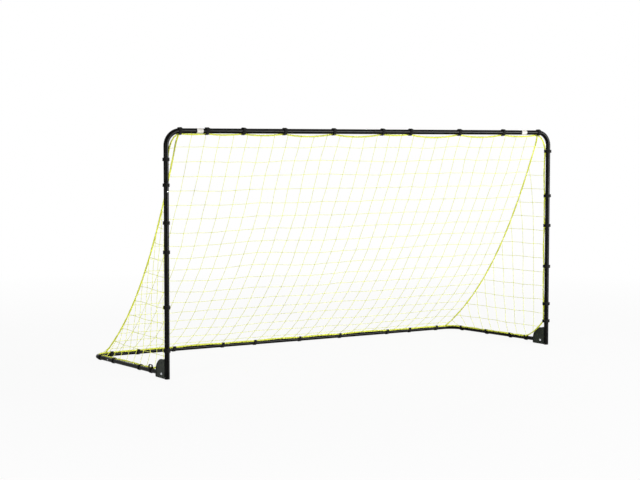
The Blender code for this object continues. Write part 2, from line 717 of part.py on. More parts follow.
for side, sign in SIDES:
    add_side_net(side, sign)
    seam_top = front_radius + GAP + SEAM_ROPE / 2
    seam_bottom = base_radius + GAP + SEAM_ROPE / 2
    drops = [i / SEAM_STEPS for i in range(SEAM_STEPS + 1)]
    seam = poly_curve(f"{side}_seam_rope", [back_point(sign * seam_x, d, seam_top, seam_bottom) for d in drops])
    seam.bevel_depth = SEAM_ROPE / 2
    seam.bevel_resolution = 1
    seam.use_fill_caps = True
    add(f"{side}_seam_rope", seam, Matrix.Identity(4), yellow_rope)

print(f"fold hinge at y {post_y + PIVOT_BACK:.6f}, z {PIVOT_HEIGHT:.6f}; rest tilt {math.degrees(rest_tilt):.4f} degrees")
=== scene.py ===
"""Folding soccer goal: powder-coated tubes, a base frame hinged between plates, hem ropes and a knotted net.

Metres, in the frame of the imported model. The sections follow the order in which the goal is put together.
"""

import json
import math

import bmesh
import bpy
from bmesh.types import BMEdge, BMesh, BMFace, BMVert
from mathutils import Matrix, Vector, noise


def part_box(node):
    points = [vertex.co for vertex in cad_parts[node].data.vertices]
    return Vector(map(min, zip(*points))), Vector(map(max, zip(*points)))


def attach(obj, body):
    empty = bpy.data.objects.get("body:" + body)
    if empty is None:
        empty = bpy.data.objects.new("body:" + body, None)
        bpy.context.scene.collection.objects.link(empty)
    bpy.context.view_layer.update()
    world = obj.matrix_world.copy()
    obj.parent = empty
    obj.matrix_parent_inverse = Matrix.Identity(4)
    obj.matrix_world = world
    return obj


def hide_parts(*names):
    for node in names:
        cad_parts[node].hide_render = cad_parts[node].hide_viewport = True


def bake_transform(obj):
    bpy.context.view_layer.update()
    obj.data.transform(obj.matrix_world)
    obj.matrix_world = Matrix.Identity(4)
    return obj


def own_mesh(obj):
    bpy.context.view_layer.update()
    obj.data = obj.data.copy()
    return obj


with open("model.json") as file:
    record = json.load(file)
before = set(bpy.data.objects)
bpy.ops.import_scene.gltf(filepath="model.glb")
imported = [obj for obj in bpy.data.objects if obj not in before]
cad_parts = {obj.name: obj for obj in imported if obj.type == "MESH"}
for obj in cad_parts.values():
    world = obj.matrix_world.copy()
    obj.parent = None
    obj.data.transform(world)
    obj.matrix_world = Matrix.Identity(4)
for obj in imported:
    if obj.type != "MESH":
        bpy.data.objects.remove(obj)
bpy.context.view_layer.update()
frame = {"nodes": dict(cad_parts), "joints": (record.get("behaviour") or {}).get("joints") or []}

# Posts: straight lengths of 38 mm round steel tube with a 1.5 mm wall, cut square. Their satin black
# polyester powder coat gives a fine orange peel and a soft grey-brown shine along the tube. A hole near
# the top lets the corner's snap button through.

SIDES = (("left", -1), ("right", 1))
FRONT_RADIUS = 0.019
WALL = 0.0015
ROUND = 48
END_ROUNDING = 0.0004
HOLE_RADIUS = 0.0043
HOLE_RING = 0.008
HOLE_SIDES = 24
DRILL = 0.04
BUTTON_SETBACK = 0.067
SPIGOT = 0.085
SPIGOT_PLAY = 0.0004
SHOULDER = 0.007
SHOULDER_STEPS = 6
post_low, post_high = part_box("left_post")
post_x = -(post_low.x + post_high.x) / 2
post_y = (post_low.y + post_high.y) / 2
post_joint_z = post_high.z
post_button_z = post_joint_z - BUTTON_SETBACK
crossbar_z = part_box("left_top_corner")[1].z - FRONT_RADIUS


def linear(code):
    """An sRGB hex colour as linear light."""
    parts = [int(code[i:i + 2], 16) / 255 for i in (0, 2, 4)]
    return [*(p / 12.92 if p <= 0.04045 else ((p + 0.055) / 1.055) ** 2.4 for p in parts), 1.0]


def add_node(tree, kind, inputs, **settings):
    """Adds a node, or takes one that is there, with its settings and what goes into its inputs."""
    made = tree.nodes.new(kind) if isinstance(kind, str) else kind
    for name, value in settings.items():
        setattr(made, name, value)
    for name, value in inputs.items():
        if isinstance(value, bpy.types.NodeSocket):
            tree.links.new(value, made.inputs[name])
        else:
            made.inputs[name].default_value = value
    return made


def new_finish(name):
    """A new material, with its node tree and its shader."""
    material = bpy.data.materials.new(name)
    material.use_nodes = True
    return material, material.node_tree, material.node_tree.nodes["Principled BSDF"]


def mottled(name, colours, fine, coarse, worn, relief, roughness, surface):
    """A finish whose colour follows a coarse noise between two colours, and whose relief a fine one.

    Each noise is given as its size in metres and its detail. Where there are two roughnesses, they follow
    the coarse noise too."""
    material, tree, shader = new_finish(name)
    place = add_node(tree, "ShaderNodeTexCoord", {}).outputs["Object"]
    noises = ({"Vector": place, "Scale": 1 / size, "Detail": detail} for size, detail in (fine, coarse))
    grain, mottle = (add_node(tree, "ShaderNodeTexNoise", inputs).outputs["Fac"] for inputs in noises)
    share = add_node(tree, "ShaderNodeMapRange", {"Value": mottle, 1: worn[0], 2: worn[1]}).outputs[0]
    colour = add_node(
        tree, "ShaderNodeMix", {0: share, 6: linear(colours[0]), 7: linear(colours[1])}, data_type="RGBA"
    )
    bump = add_node(tree, "ShaderNodeBump", {"Height": grain, "Strength": relief[0], "Distance": relief[1]})
    if isinstance(roughness, tuple):
        spread = {"Value": mottle, 1: 0.3, 2: 0.7, 3: roughness[0], 4: roughness[1]}
        roughness = add_node(tree, "ShaderNodeMapRange", spread).outputs[0]
    finish = {"Base Color": colour.outputs[2], "Normal": bump.outputs["Normal"], "Roughness": roughness}
    add_node(tree, shader, finish | surface)
    return material


def powder_coat(name, colours, gloss):
    """Baked polyester powder: orange peel about 2 mm across, with rubbed, dustier patches of some 7 cm."""
    return mottled(
        name, colours, fine=(0.002, 1.0), coarse=(0.07, 6.0), worn=(0.42, 0.68), relief=(0.2, 0.0002),
        roughness=(0.29, 0.36), surface={"IOR": 1.48, "Specular IOR Level": gloss},
    )


# Near-black that catches a soft shine. Each finish below is kept with the name of the slot it goes by.
black_coat = powder_coat("satin_black_powder_coat_on_steel_tube", ("050504", "0b0a08"), 0.035)
tube_coat = (black_coat, "black_powder_coat")


def put(name, data):
    """A new object in the scene."""
    obj = bpy.data.objects.new(name, data)
    bpy.context.scene.collection.objects.link(obj)
    return obj


def as_mesh(shape):
    """A shape under work as a mesh. A mesh stays as it is."""
    if not isinstance(shape, BMesh):
        return shape
    mesh = bpy.data.meshes.new("shape")
    shape.to_mesh(mesh)
    shape.free()
    return mesh


def settled(obj):
    """The mesh of an object with its modifiers worked in. The object itself goes."""
    mesh = bpy.data.meshes.new_from_object(obj.evaluated_get(bpy.context.evaluated_depsgraph_get()))
    bpy.data.objects.remove(obj)
    return mesh


def combine(shape, others, operation):
    """Adds other shapes to a shape, cuts them from it, or keeps what they share."""
    obj = put("shape", as_mesh(shape))
    others = [put("other", as_mesh(other)) for other in others]
    for other in others:
        step = obj.modifiers.new("combine", "BOOLEAN")
        step.operation, step.object, step.solver = operation, other, "EXACT"
    mesh = settled(obj)
    for other in others:
        bpy.data.objects.remove(other)
    return mesh


def bored(shape, places, radius=HOLE_RADIUS, depth=DRILL):
    """The shape with a round hole drilled along local Z of each place."""
    drills = []
    for place in places:
        drill = bmesh.new()
        bmesh.ops.create_cone(
            drill, cap_ends=True, segments=HOLE_SIDES, radius1=radius, radius2=radius, depth=depth,
            matrix=place @ Matrix.Translation((0, 0, depth / 2)),
        )
        drills.append(drill)
    return combine(shape, drills, "DIFFERENCE")


def add_piece(name, shape, finish, body=None, node=None, crease=35):
    """Shows a finished shape as a piece that rides on a body and stands for the CAD node named."""
    material, slot = finish
    mesh = as_mesh(shape)
    mesh.name = name
    mesh.materials.clear()
    mesh.materials.append(material)
    mesh.shade_smooth()
    mesh.set_sharp_from_angle(angle=math.radians(crease))
    obj = put(name, mesh)
    if body:
        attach(obj, body)
    if node:
        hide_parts(node)
    return obj


def stand(origin, z_axis, x_axis):
    """Matrix that sets local Z along z_axis and local X along x_axis, which is square to it."""
    z, x = Vector(z_axis).normalized(), Vector(x_axis).normalized()
    return Matrix.Translation(origin) @ Matrix((x, z.cross(x), z)).transposed().to_4x4()


def moved(bm, place):
    bmesh.ops.transform(bm, matrix=place, verts=bm.verts)
    return bm


def cleaned(bm):
    """The shape with doubled points merged and its faces turned outwards."""
    bmesh.ops.remove_doubles(bm, verts=bm.verts, dist=1e-6)
    bmesh.ops.recalc_face_normals(bm, faces=bm.faces)
    return bm


def turned(outline, closed=False, sides=ROUND):
    """Turned shape about Z from (radius, height) points."""
    bm = bmesh.new()
    verts = [bm.verts.new((radius, 0, height)) for radius, height in outline]
    edges = [bm.edges.new(pair) for pair in zip(verts, verts[1:])]
    if closed:
        edges.append(bm.edges.new((verts[-1], verts[0])))
    bmesh.ops.spin(
        bm, geom=verts + edges, cent=(0, 0, 0), axis=(0, 0, 1), angle=2 * math.pi, steps=sides, use_merge=True
    )
    return cleaned(bm)


def shoulder(radius):
    """Outside of a tube where it is swaged down to slide into the next, as (radius, height) from the neck."""
    neck = radius - WALL - SPIGOT_PLAY
    shares = [(1 - math.cos(math.pi * i / SHOULDER_STEPS)) / 2 for i in range(SHOULDER_STEPS + 1)]
    return [(neck + (radius - neck) * share, SHOULDER * i / SHOULDER_STEPS) for i, share in enumerate(shares)]


def tube(radius, length, holes, swaged=False, ring=HOLE_RING):
    """Tube up Z, with rings in its wall on either side of each hole. A swaged start narrows into a spigot."""
    bore, tiny = radius - WALL, END_ROUNDING
    rings = sorted(z + step for z in holes for step in (-ring, ring))
    outside = [(radius, z) for z in rings] + [(radius, length - tiny), (radius - tiny, length)]
    inside = [(bore + tiny, length), (bore, length - tiny)] + [(bore, z) for z in reversed(rings)]
    if not swaged:
        start, end = [(radius - tiny, 0), (radius, tiny)], [(bore, tiny), (bore + tiny, 0)]
        return turned(start + outside + inside + end, closed=True)
    slope = shoulder(radius)
    neck = slope[0][0]
    start = [(neck - tiny, -SPIGOT), (neck, tiny - SPIGOT)] + slope
    end = [(r - WALL, z) for r, z in reversed(slope)] + [(neck - WALL, -SPIGOT)]
    return turned(start + outside + inside + end, closed=True)


for side, sign in SIDES:
    foot = Matrix.Translation((sign * post_x, post_y, post_low.z))
    post = moved(tube(FRONT_RADIUS, post_joint_z - post_low.z, [post_button_z - post_low.z]), foot)
    post = bored(post, [stand((sign * post_x, post_y, post_button_z), (0, sign, 0), (0, 0, 1))])
    add_piece(f"{side}_post_tube", post, tube_coat, "front_frame", f"{side}_post")

# Top corners: the same tube bent through a quarter turn. Each end is swaged down over a few millimetres
# to a neck that slides into the next tube, so that the joint shows as a shallow groove.

BEND_RADIUS = 0.11
BEND_STEPS = 24
CROSSBAR_LEG = 0.245


def only(geom, kind):
    return [item for item in geom if isinstance(item, kind)]


def drawn_on(bm, edges, direction, steps, centre):
    """Carries a ring of edges on along a direction, in steps of (distance, growth about its centre)."""
    for distance, growth in steps:
        made = bmesh.ops.extrude_edge_only(bm, edges=edges)["geom"]
        verts, edges = only(made, BMVert), only(made, BMEdge)
        centre = centre + direction * distance
        bmesh.ops.translate(bm, vec=direction * distance, verts=verts)
        bmesh.ops.scale(bm, vec=(growth,) * 3, space=Matrix.Translation(-centre), verts=verts)
    return edges + verts


def corner_tube(corner, near, far, radius):
    """Bent tube round a corner, from one neck to the other, with its button holes.

    Each leg has the direction from the corner to its joint, its length and the side its button is on."""
    (out, leg, _), (onward, far_leg, _) = near, far
    widths = [width for width, height in shoulder(radius)]
    growths = [wide / narrow for narrow, wide in zip(widths, widths[1:])]
    neck = [(SPIGOT - BUTTON_SETBACK - HOLE_RING, 1), (2 * HOLE_RING, 1), (BUTTON_SETBACK - HOLE_RING, 1)]
    widening = [(SHOULDER / SHOULDER_STEPS, growth) for growth in growths]
    narrowing = [(SHOULDER / SHOULDER_STEPS, 1 / growth) for growth in reversed(growths)]
    bm = bmesh.new()
    tip = corner + out * (leg + SPIGOT)
    bmesh.ops.create_circle(bm, segments=ROUND, radius=widths[0], matrix=stand(tip, -out, out.cross(onward)))
    straight = (leg - SHOULDER - BEND_RADIUS, 1)
    ring = drawn_on(bm, list(bm.edges), -out, [*neck, *widening, straight], tip)
    ring = bmesh.ops.spin(
        bm, geom=ring, cent=corner + (out + onward) * BEND_RADIUS, axis=onward.cross(out), angle=math.pi / 2,
        steps=BEND_STEPS,
    )["geom_last"]
    straight = (far_leg - SHOULDER - BEND_RADIUS, 1)
    steps = [straight, *narrowing, *reversed(neck)]
    drawn_on(bm, only(ring, BMEdge), onward, steps, corner + onward * BEND_RADIUS)
    bend = put("bend", as_mesh(cleaned(bm)))
    wall = bend.modifiers.new("wall", "SOLIDIFY")
    wall.thickness, wall.offset = WALL, -1
    holes = [stand(corner + way * (run + BUTTON_SETBACK), button, -way) for way, run, button in (far, near)]
    return bored(settled(bend), holes)


for side, sign in SIDES:
    inward = Vector((-sign, 0, 0)), CROSSBAR_LEG, (0, 0, 1)
    down = Vector((0, 0, -1)), crossbar_z - post_joint_z, (0, sign, 0)
    bend = corner_tube(Vector((sign * post_x, post_y, crossbar_z)), inward, down, FRONT_RADIUS)
    add_piece(f"{side}_top_bend", bend, tube_coat, "front_frame", f"{side}_top_corner")

# Crossbar: two lengths of the post's tube that meet in the middle, where the right one's swaged neck
# slides into the left one. Snap buttons in holes on its upper side hold the three joints.

JOINT_SLIT = 0.0003


def rail_halves(kind, place, half, radius, body, button_side):
    """Two tubes end to end along local X of place, joined at the middle, with their button holes."""
    for side, sign in SIDES:
        start, length = (-half, half - JOINT_SLIT) if sign < 0 else (0, half)
        holes = (sign * (half + JOINT_SLIT - BUTTON_SETBACK), -BUTTON_SETBACK)
        rail = tube(radius, length, [x - start for x in holes if x > start], sign > 0)
        rail = moved(rail, place @ stand((start, 0, 0), (1, 0, 0), (0, 0, 1)))
        rail = bored(rail, [place @ stand((x, 0, 0), button_side, (1, 0, 0)) for x in holes])
        add_piece(f"{side}_{kind}_tube", rail, tube_coat, body, f"{side}_{kind}")


bar_middle = Matrix.Translation((0, post_y, crossbar_z))
bar_end = post_x - CROSSBAR_LEG - JOINT_SLIT
rail_halves("crossbar", bar_middle, bar_end, FRONT_RADIUS, "front_frame", (0, 0, 1))

# Base frame: 32 mm tube in the same black coat. Two side tubes run back from the hinges to bent rear
# corners, and a two-piece rail joins those along the ground behind the goal.

BASE_RADIUS = 0.016
BASE_DEPTH = 1.30
SIDE_TAIL = 0.022
SIDE_RING = 0.01
CORNER_SIDE_LEG = 0.24
CORNER_RAIL_LEG = 0.245
LOCK_RADIUS = 0.080
bolt_low, bolt_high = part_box("left_pivot_bolt")
pivot = Vector((0, (bolt_low.y + bolt_high.y) / 2, (bolt_low.z + bolt_high.z) / 2))
fold = next(joint for joint in frame["joints"] if joint["name"] == "base_fold")
rest_tilt = math.radians(fold["range_deg"][1] - 90)
base_place = Matrix.Translation(pivot) @ Matrix.Rotation(-rest_tilt, 4, "X")
base_arm = (BASE_DEPTH - (pivot.y - post_y)) / math.cos(rest_tilt)
side_joint = base_arm - CORNER_SIDE_LEG
side_button = side_joint - BUTTON_SETBACK
for side, sign in SIDES:
    x = sign * post_x
    holes = [SIDE_TAIL + y for y in (0, LOCK_RADIUS, side_button)]
    rail = tube(BASE_RADIUS, side_joint - JOINT_SLIT + SIDE_TAIL, holes, ring=SIDE_RING)
    rail = moved(rail, base_place @ stand((x, -SIDE_TAIL, 0), (0, 1, 0), (1, 0, 0)))
    through = [base_place @ stand((x - DRILL / 2, y, 0), (1, 0, 0), (0, 1, 0)) for y in (0, LOCK_RADIUS)]
    rail = bored(rail, [*through, base_place @ stand((x, side_button, 0), (sign, 0, 0), (0, 1, 0))])
    add_piece(f"{side}_side_rail", rail, tube_coat, "base_frame", f"{side}_side_tube")
    inward = Vector((-sign, 0, 0)), CORNER_RAIL_LEG, (0, 1, 0)
    forward = Vector((0, -1, 0)), CORNER_SIDE_LEG, (sign, 0, 0)
    bend = corner_tube(Vector((x, base_arm, 0)), inward, forward, BASE_RADIUS)
    bend.transform(base_place)
    add_piece(f"{side}_rear_bend", bend, tube_coat, "base_frame", f"{side}_rear_corner")
rail_middle = base_place @ Matrix.Translation((0, base_arm, 0))
rail_end = post_x - CORNER_RAIL_LEG - JOINT_SLIT
rail_halves("rear_rail", rail_middle, rail_end, BASE_RADIUS, "base_frame", (0, 1, 0))

# End plugs: injection-moulded polyethylene caps pushed into the feet of the posts and the tails of the
# side tubes. The moulding shows as a matt, faintly grained black, scuffed paler where it meets the ground.

FOOT_FLANGE = 0.004
TAIL_FLANGE = 0.002
PLUG_DEPTH = 0.014
PLUG_PLAY = 0.0003
PLUG_CHAMFER = 0.001
# Matt black with a 1.2 mm grain, and paler scuffs about 9 mm across.
matt_black = mottled(
    "black_moulded_polyethylene", ("131312", "2c2b29"), fine=(0.0012, 3.0), coarse=(0.009, 5.0),
    worn=(0.5, 0.75), relief=(0.35, 0.0002), roughness=0.62, surface={},
)
plug_plastic = (matt_black, "black_polyethylene")


def even(total, steps):
    """Even steps from 0 to a total."""
    return [total * i / steps for i in range(steps + 1)]


def add_plug(name, place, radius, flange, body, node):
    """Plug whose flange covers the tube's end below Z = 0, with its insert up local Z."""
    insert, rounding = radius - WALL - PLUG_PLAY, flange * 0.35
    outline = [(0, PLUG_DEPTH), (insert - PLUG_CHAMFER, PLUG_DEPTH), (insert, PLUG_DEPTH - PLUG_CHAMFER)]
    outline += [(insert, 0), (radius, 0)]
    for turn in even(math.pi / 2, 4):
        outline.append((radius - rounding * (1 - math.cos(turn)), -flange + rounding * (1 - math.sin(turn))))
    add_piece(name, moved(turned([*outline, (0, -flange)]), place), plug_plastic, body, node)


for side, sign in SIDES:
    foot = stand((sign * post_x, post_y, FOOT_FLANGE), (0, 0, 1), (1, 0, 0))
    add_plug(f"{side}_foot_cap", foot, FRONT_RADIUS, FOOT_FLANGE, "front_frame", f"{side}_foot_plug")
    tail = base_place @ stand((sign * post_x, -SIDE_TAIL - PLUG_PLAY, 0), (0, 1, 0), (1, 0, 0))
    add_plug(f"{side}_tail_cap", tail, BASE_RADIUS, TAIL_FLANGE, "base_frame", f"{side}_side_tube_plug")

# Hinge plates: 3 mm steel stamped to a quarter round, two welded behind each post with the side tube
# between them. A lip is pressed out round the curved edge, and the plates are coated dark grey after
# welding. Each has a hole for the pivot bolt and two for the lock buttons, for the open and folded base.

PLATE = 0.003
PLATE_PLAY = 0.0005
PLATE_BOTTOM = 0.003
PLATE_TOP = 0.146
PLATE_REAR = 0.1465
PLATE_ARC = 0.104
PLATE_ROUNDING = 0.0004
LIP_HEIGHT = 0.004
LIP_BEND = 0.0022
LIP_INSET = 0.003
LIP_OVERLAP = 0.001
WELD_RADIUS = 0.0023
WELD_PITCH = 0.0032
WELD_RIPPLE = 0.09
WELD_TAPER = 0.003
WELDS = ((0.012, 0.030), (0.100, 0.034))
# Dark grey under the same orange peel, with a little less shine than the tubes.
grey_coat = powder_coat("dark_grey_powder_coat_on_pressed_plate", ("2b2f29", "363a34"), 0.03)
plate_coat = (grey_coat, "dark_grey_coated_plate")
plate_inner = BASE_RADIUS + PLATE_PLAY
plate_front = math.sqrt(FRONT_RADIUS**2 - plate_inner**2) + 0.0003
arc_centre = (PLATE_REAR - PLATE_ARC, PLATE_TOP - PLATE_ARC)
pivot_y, pivot_z = pivot.y - post_y, pivot.z
plate_holes = [
    (pivot_y, pivot_z),
    (pivot_y + LOCK_RADIUS * math.cos(rest_tilt), pivot_z - LOCK_RADIUS * math.sin(rest_tilt)),
    (pivot_y, pivot_z + LOCK_RADIUS),
]


def joined(shapes):
    """One shape out of several. Their meshes go."""
    whole = bmesh.new()
    for shape in shapes:
        mesh = as_mesh(shape)
        whole.from_mesh(mesh)
        bpy.data.meshes.remove(mesh)
    return whole


def poly_curve(paths, dimensions="3D", closed=False):
    """A curve object of straight runs through the points of each path."""
    curve = bpy.data.curves.new("curve", "CURVE")
    curve.dimensions = dimensions
    for path in paths:
        spline = curve.splines.new("POLY")
        spline.points.add(len(path) - 1)
        spline.use_cyclic_u = closed
        for point, place in zip(spline.points, path):
            point.co = (*place, 1)
    return put("curve", curve)


def flat_shape(outlines, thickness, rounding):
    """Flat piece in local XY from the first outline less the rest, with rounded rims."""
    obj = poly_curve(outlines, "2D", closed=True)
    obj.data.fill_mode, obj.data.extrude = "BOTH", thickness / 2 - rounding
    obj.data.bevel_depth, obj.data.bevel_resolution, obj.data.offset = rounding, 2, -rounding
    return cleaned(joined([settled(obj)]))


def arc_points(centre, radius, total, steps):
    """Points in local XY along an arc that starts on the +X side of its centre."""
    x, y = centre
    return [(x + radius * math.cos(turn), y + radius * math.sin(turn), 0) for turn in even(total, steps)]


def lip_shape(front):
    """Lip pressed out along the plate's rear edge, its arc and its top, in the plate's local frame."""
    half, top, root = PLATE / 2, PLATE / 2 + LIP_HEIGHT, -PLATE - LIP_BEND
    section = [(0, 0.0006 - half), (-0.0006, -half), (root, -half), (root, half)]
    section += [(-PLATE - 0.0006, half + 0.0005), (0.0002 - PLATE, half + 0.0016)]
    section += [(0.0002 - PLATE, top - 0.0006), (0.0008 - PLATE, top), (-0.0008, top), (0, top - 0.0008)]
    bm = bmesh.new()

    def drawn(face, shift):
        made = bmesh.ops.extrude_face_region(bm, geom=face)["geom"]
        bmesh.ops.translate(bm, vec=shift, verts=only(made, BMVert))
        return only(made, BMFace)

    start = PLATE_BOTTOM + LIP_INSET
    face = bm.faces.new([bm.verts.new((PLATE_REAR + out, start, lift)) for out, lift in section])
    face = drawn([face], (0, arc_centre[1] - start, 0))
    made = bmesh.ops.spin(
        bm, geom=face, cent=(*arc_centre, 0), axis=(0, 0, 1), angle=math.pi / 2, steps=20
    )["geom_last"]
    drawn(only(made, BMFace), (front - arc_centre[0], 0, 0))
    sections = [face for face in bm.faces if len(face.verts) == len(section)]
    sections = [face for face in sections if not all(edge.is_manifold for edge in face.edges)]
    bmesh.ops.delete(bm, geom=sections, context="FACES_ONLY")
    bmesh.ops.holes_fill(bm, edges=[edge for edge in bm.edges if edge.is_boundary], sides=0)
    bmesh.ops.recalc_face_normals(bm, faces=bm.faces)
    return bm


def weld_bead(length):
    """Rippled bead of a stitch weld, standing on Z = 0."""
    outline = [(0, 0)]
    for z in even(length, int(length / WELD_PITCH * 4)):
        taper = min(1, 0.55 + 0.45 * min(z, length - z) / WELD_TAPER)
        outline.append((WELD_RADIUS * taper * (1 + WELD_RIPPLE * math.cos(2 * math.pi * z / WELD_PITCH)), z))
    return turned([*outline, (0, length)], sides=12)


for side, sign in SIDES:
    for face, out in (("outer", sign), ("inner", -sign)):
        rim = arc_points(arc_centre, PLATE_ARC - LIP_OVERLAP, math.pi / 2, 28)
        corners = [(plate_front, rim[-1][1], 0), (plate_front, PLATE_BOTTOM, 0), (rim[0][0], PLATE_BOTTOM, 0)]
        holes = [arc_points(hole, HOLE_RADIUS, 2 * math.pi, HOLE_SIDES)[:-1] for hole in plate_holes]
        plate = flat_shape([corners[1:] + rim + corners[:1], *holes], PLATE, PLATE_ROUNDING)
        plate = combine(plate, [lip_shape(plate_front + LIP_INSET)], "UNION")
        middle = Matrix.Translation((sign * post_x + out * (plate_inner + PLATE / 2), post_y, 0))
        plate.transform(middle @ Matrix(((0, 0, out), (1, 0, 0), (0, 1, 0))).to_4x4())
        if out < 0:
            plate.flip_normals()
        name = f"{side}_hinge_plate_{face}"
        add_piece(f"{name}_pressed", plate, plate_coat, "front_frame", name, crease=14)
    beads = []
    for out in (-1, 1):
        for start, length in WELDS:
            at = (sign * post_x + out * (plate_inner + PLATE - 0.0006), post_y + plate_front + 0.0002, start)
            beads.append(moved(weld_bead(length), Matrix.Translation(at)))
    add_piece(f"{side}_plate_welds", joined(beads), plate_coat, "front_frame", crease=60)

# Pivot bolts and lock nuts: M8 flanged hexagon bolts through both plates and the side tube. Bright zinc
# plating gives a smooth pale metal, faintly clouded. The base frame folds about these bolts.

HEX = 0.013
HEX_CHAMFER = 0.0008
HEAD_HEIGHT = 0.0053
FLANGE_RADIUS = 0.0087
FLANGE = 0.0016
FLANGE_OUTLINE = (
    (0, 0), (FLANGE_RADIUS - 0.0004, 0), (FLANGE_RADIUS, 0.0005), (FLANGE_RADIUS - 0.0003, FLANGE - 0.0007),
    (HEX / 2, FLANGE + 0.0008), (0, FLANGE + 0.0008),
)
NUT_HEIGHT = 0.0065
NUT_HEX = NUT_HEIGHT - 0.0012
THREAD_RADIUS = 0.004
THREAD_PITCH = 0.00125
THREAD_DEPTH = 0.0005
THREAD_RUN = 0.002
PLATE_GAP = 0.0003
# Pale, nearly mirror-like metal, clouded in patches of 4 mm.
bright_metal = mottled(
    "bright_zinc_plated_steel", ("cdd0d3", "e6e8ea"), fine=(0.004, 4.0), coarse=(0.004, 4.0),
    worn=(0.0, 1.0), relief=(0.1, 0.0002), roughness=(0.24, 0.38), surface={"Metallic": 1.0},
)
zinc = (bright_metal, "bright_zinc")


def hexagon(bottom, top, both_ends):
    """Hexagon prism about Z whose corners are turned off at the bottom, or at both ends."""
    corner = HEX / 2 / math.cos(math.pi / 6)
    prism = bmesh.new()
    bmesh.ops.create_cone(
        prism, cap_ends=True, segments=6, radius1=corner, radius2=corner, depth=top - bottom,
        matrix=Matrix.Translation((0, 0, (bottom + top) / 2)),
    )
    face, rim = HEX / 2 * 0.97, corner + 0.0002
    low = [(0, bottom), (face, bottom), (rim, bottom + HEX_CHAMFER)]
    high = [(rim, top - HEX_CHAMFER), (face, top)] if both_ends else [(corner + 0.001, top)]
    return combine(prism, [turned([*low, *high, (0, top)])], "INTERSECT")


def thread(bottom, top):
    """Outline of a threaded shank with a chamfered end at the top."""
    root, outline = THREAD_RADIUS - THREAD_DEPTH, []
    for i in range(int((top - 0.0008 - bottom) / THREAD_PITCH)):
        z = bottom + i * THREAD_PITCH
        outline += [(root, z), (root, z + THREAD_PITCH * 0.15)]
        outline += [(THREAD_RADIUS, z + THREAD_PITCH * 0.5), (THREAD_RADIUS, z + THREAD_PITCH * 0.65)]
    return outline + [(root, top - 0.0006), (THREAD_RADIUS - 0.001, top), (0, top)]


plate_span = 2 * (plate_inner + PLATE) + 2 * PLATE_GAP
bolt_length = plate_span + PLATE_GAP + NUT_HEIGHT + THREAD_RUN
for side, sign in SIDES:
    inward = Vector((-sign, 0, 0))
    head_face = Vector((sign * post_x, pivot.y, pivot.z)) - inward * plate_span / 2
    washer_face = turned([(radius, -height) for radius, height in reversed(FLANGE_OUTLINE)])
    shank = turned([(0, -0.001), (THREAD_RADIUS, -0.001), *thread(plate_span - THREAD_RUN, bolt_length)])
    bolt = joined([hexagon(-HEAD_HEIGHT, -0.0006, False), washer_face, shank])
    bolt = moved(bolt, stand(head_face, inward, (0, 1, 0)))
    add_piece(f"{side}_hinge_bolt", bolt, zinc, "front_frame", f"{side}_pivot_bolt")
    rim = [(0.0058, NUT_HEX - 0.0002), (0.0056, NUT_HEIGHT - 0.0003), (0.0052, NUT_HEIGHT)]
    collar = turned([(0, NUT_HEX - 0.0002), *rim, (0, NUT_HEIGHT)])
    nut = combine(hexagon(0, NUT_HEX, True), [collar, turned(FLANGE_OUTLINE)], "UNION")
    nut = bored(nut, [Matrix.Translation((0, 0, -0.001))], THREAD_RADIUS + PLATE_GAP, 0.01)
    nut.transform(stand(head_face + inward * (plate_span + PLATE_GAP), inward, (0, 1, 0)))
    add_piece(f"{side}_hinge_nut", nut, zinc, "front_frame", f"{side}_pivot_nut")

# Snap buttons: turned and zinc-plated, riveted to a bent strip of spring steel inside the neck. The
# domed head springs out through both tubes' holes, and pressing it lets the joint slide apart.

BUTTON_RADIUS = 0.004
BUTTON_PROUD = 0.003
BUTTON_DOME = 0.0015
BUTTON_FOOT = 0.001
BUTTON_SIDES = 32
LEAF_LENGTH = 0.045
LEAF_WIDTH = 0.0074
LEAF = 0.0008
LEAF_PLAY = 0.0024
LEAF_FROM = 1.05
LEAF_TO = -0.7


def leaf_strip(height):
    """Bent strip with its apex on local +X, from the height given times LEAF_FROM to that times LEAF_TO."""
    bm = bmesh.new()
    turns = [LEAF_FROM + step for step in even(LEAF_TO - LEAF_FROM, 18)]
    verts = [bm.verts.new((LEAF_LENGTH * (1 - turn**2), -LEAF_WIDTH / 2, height * turn)) for turn in turns]
    edges = [bm.edges.new(pair) for pair in zip(verts, verts[1:])]
    made = bmesh.ops.extrude_edge_only(bm, edges=edges)["geom"]
    bmesh.ops.translate(bm, vec=(0, LEAF_WIDTH, 0), verts=only(made, BMVert))
    bmesh.ops.solidify(bm, geom=bm.faces, thickness=LEAF)
    bmesh.ops.recalc_face_normals(bm, faces=bm.faces)
    return bm


def domed_head(bottom, top, dome, flange=0):
    """Button up local Z, with a domed top and a flange at its foot where it has one."""
    turns = even(math.pi / 2, 7)
    arc = [(BUTTON_RADIUS * math.sin(turn), top - dome * (1 - math.cos(turn))) for turn in turns]
    ledge, foot = bottom + BUTTON_FOOT, [(BUTTON_RADIUS, bottom)]
    if flange:
        foot = [(BUTTON_RADIUS, ledge), (flange, ledge), (flange, bottom)]
    return turned([*arc, *foot, (0, bottom)], sides=BUTTON_SIDES)


def snap_button(name, place, radius):
    height = radius - WALL - SPIGOT_PLAY - WALL - LEAF_PLAY
    button = joined([domed_head(height - LEAF, radius + BUTTON_PROUD, BUTTON_DOME), leaf_strip(height)])
    add_piece(f"{name}_pin", moved(button, place), zinc, name, name)


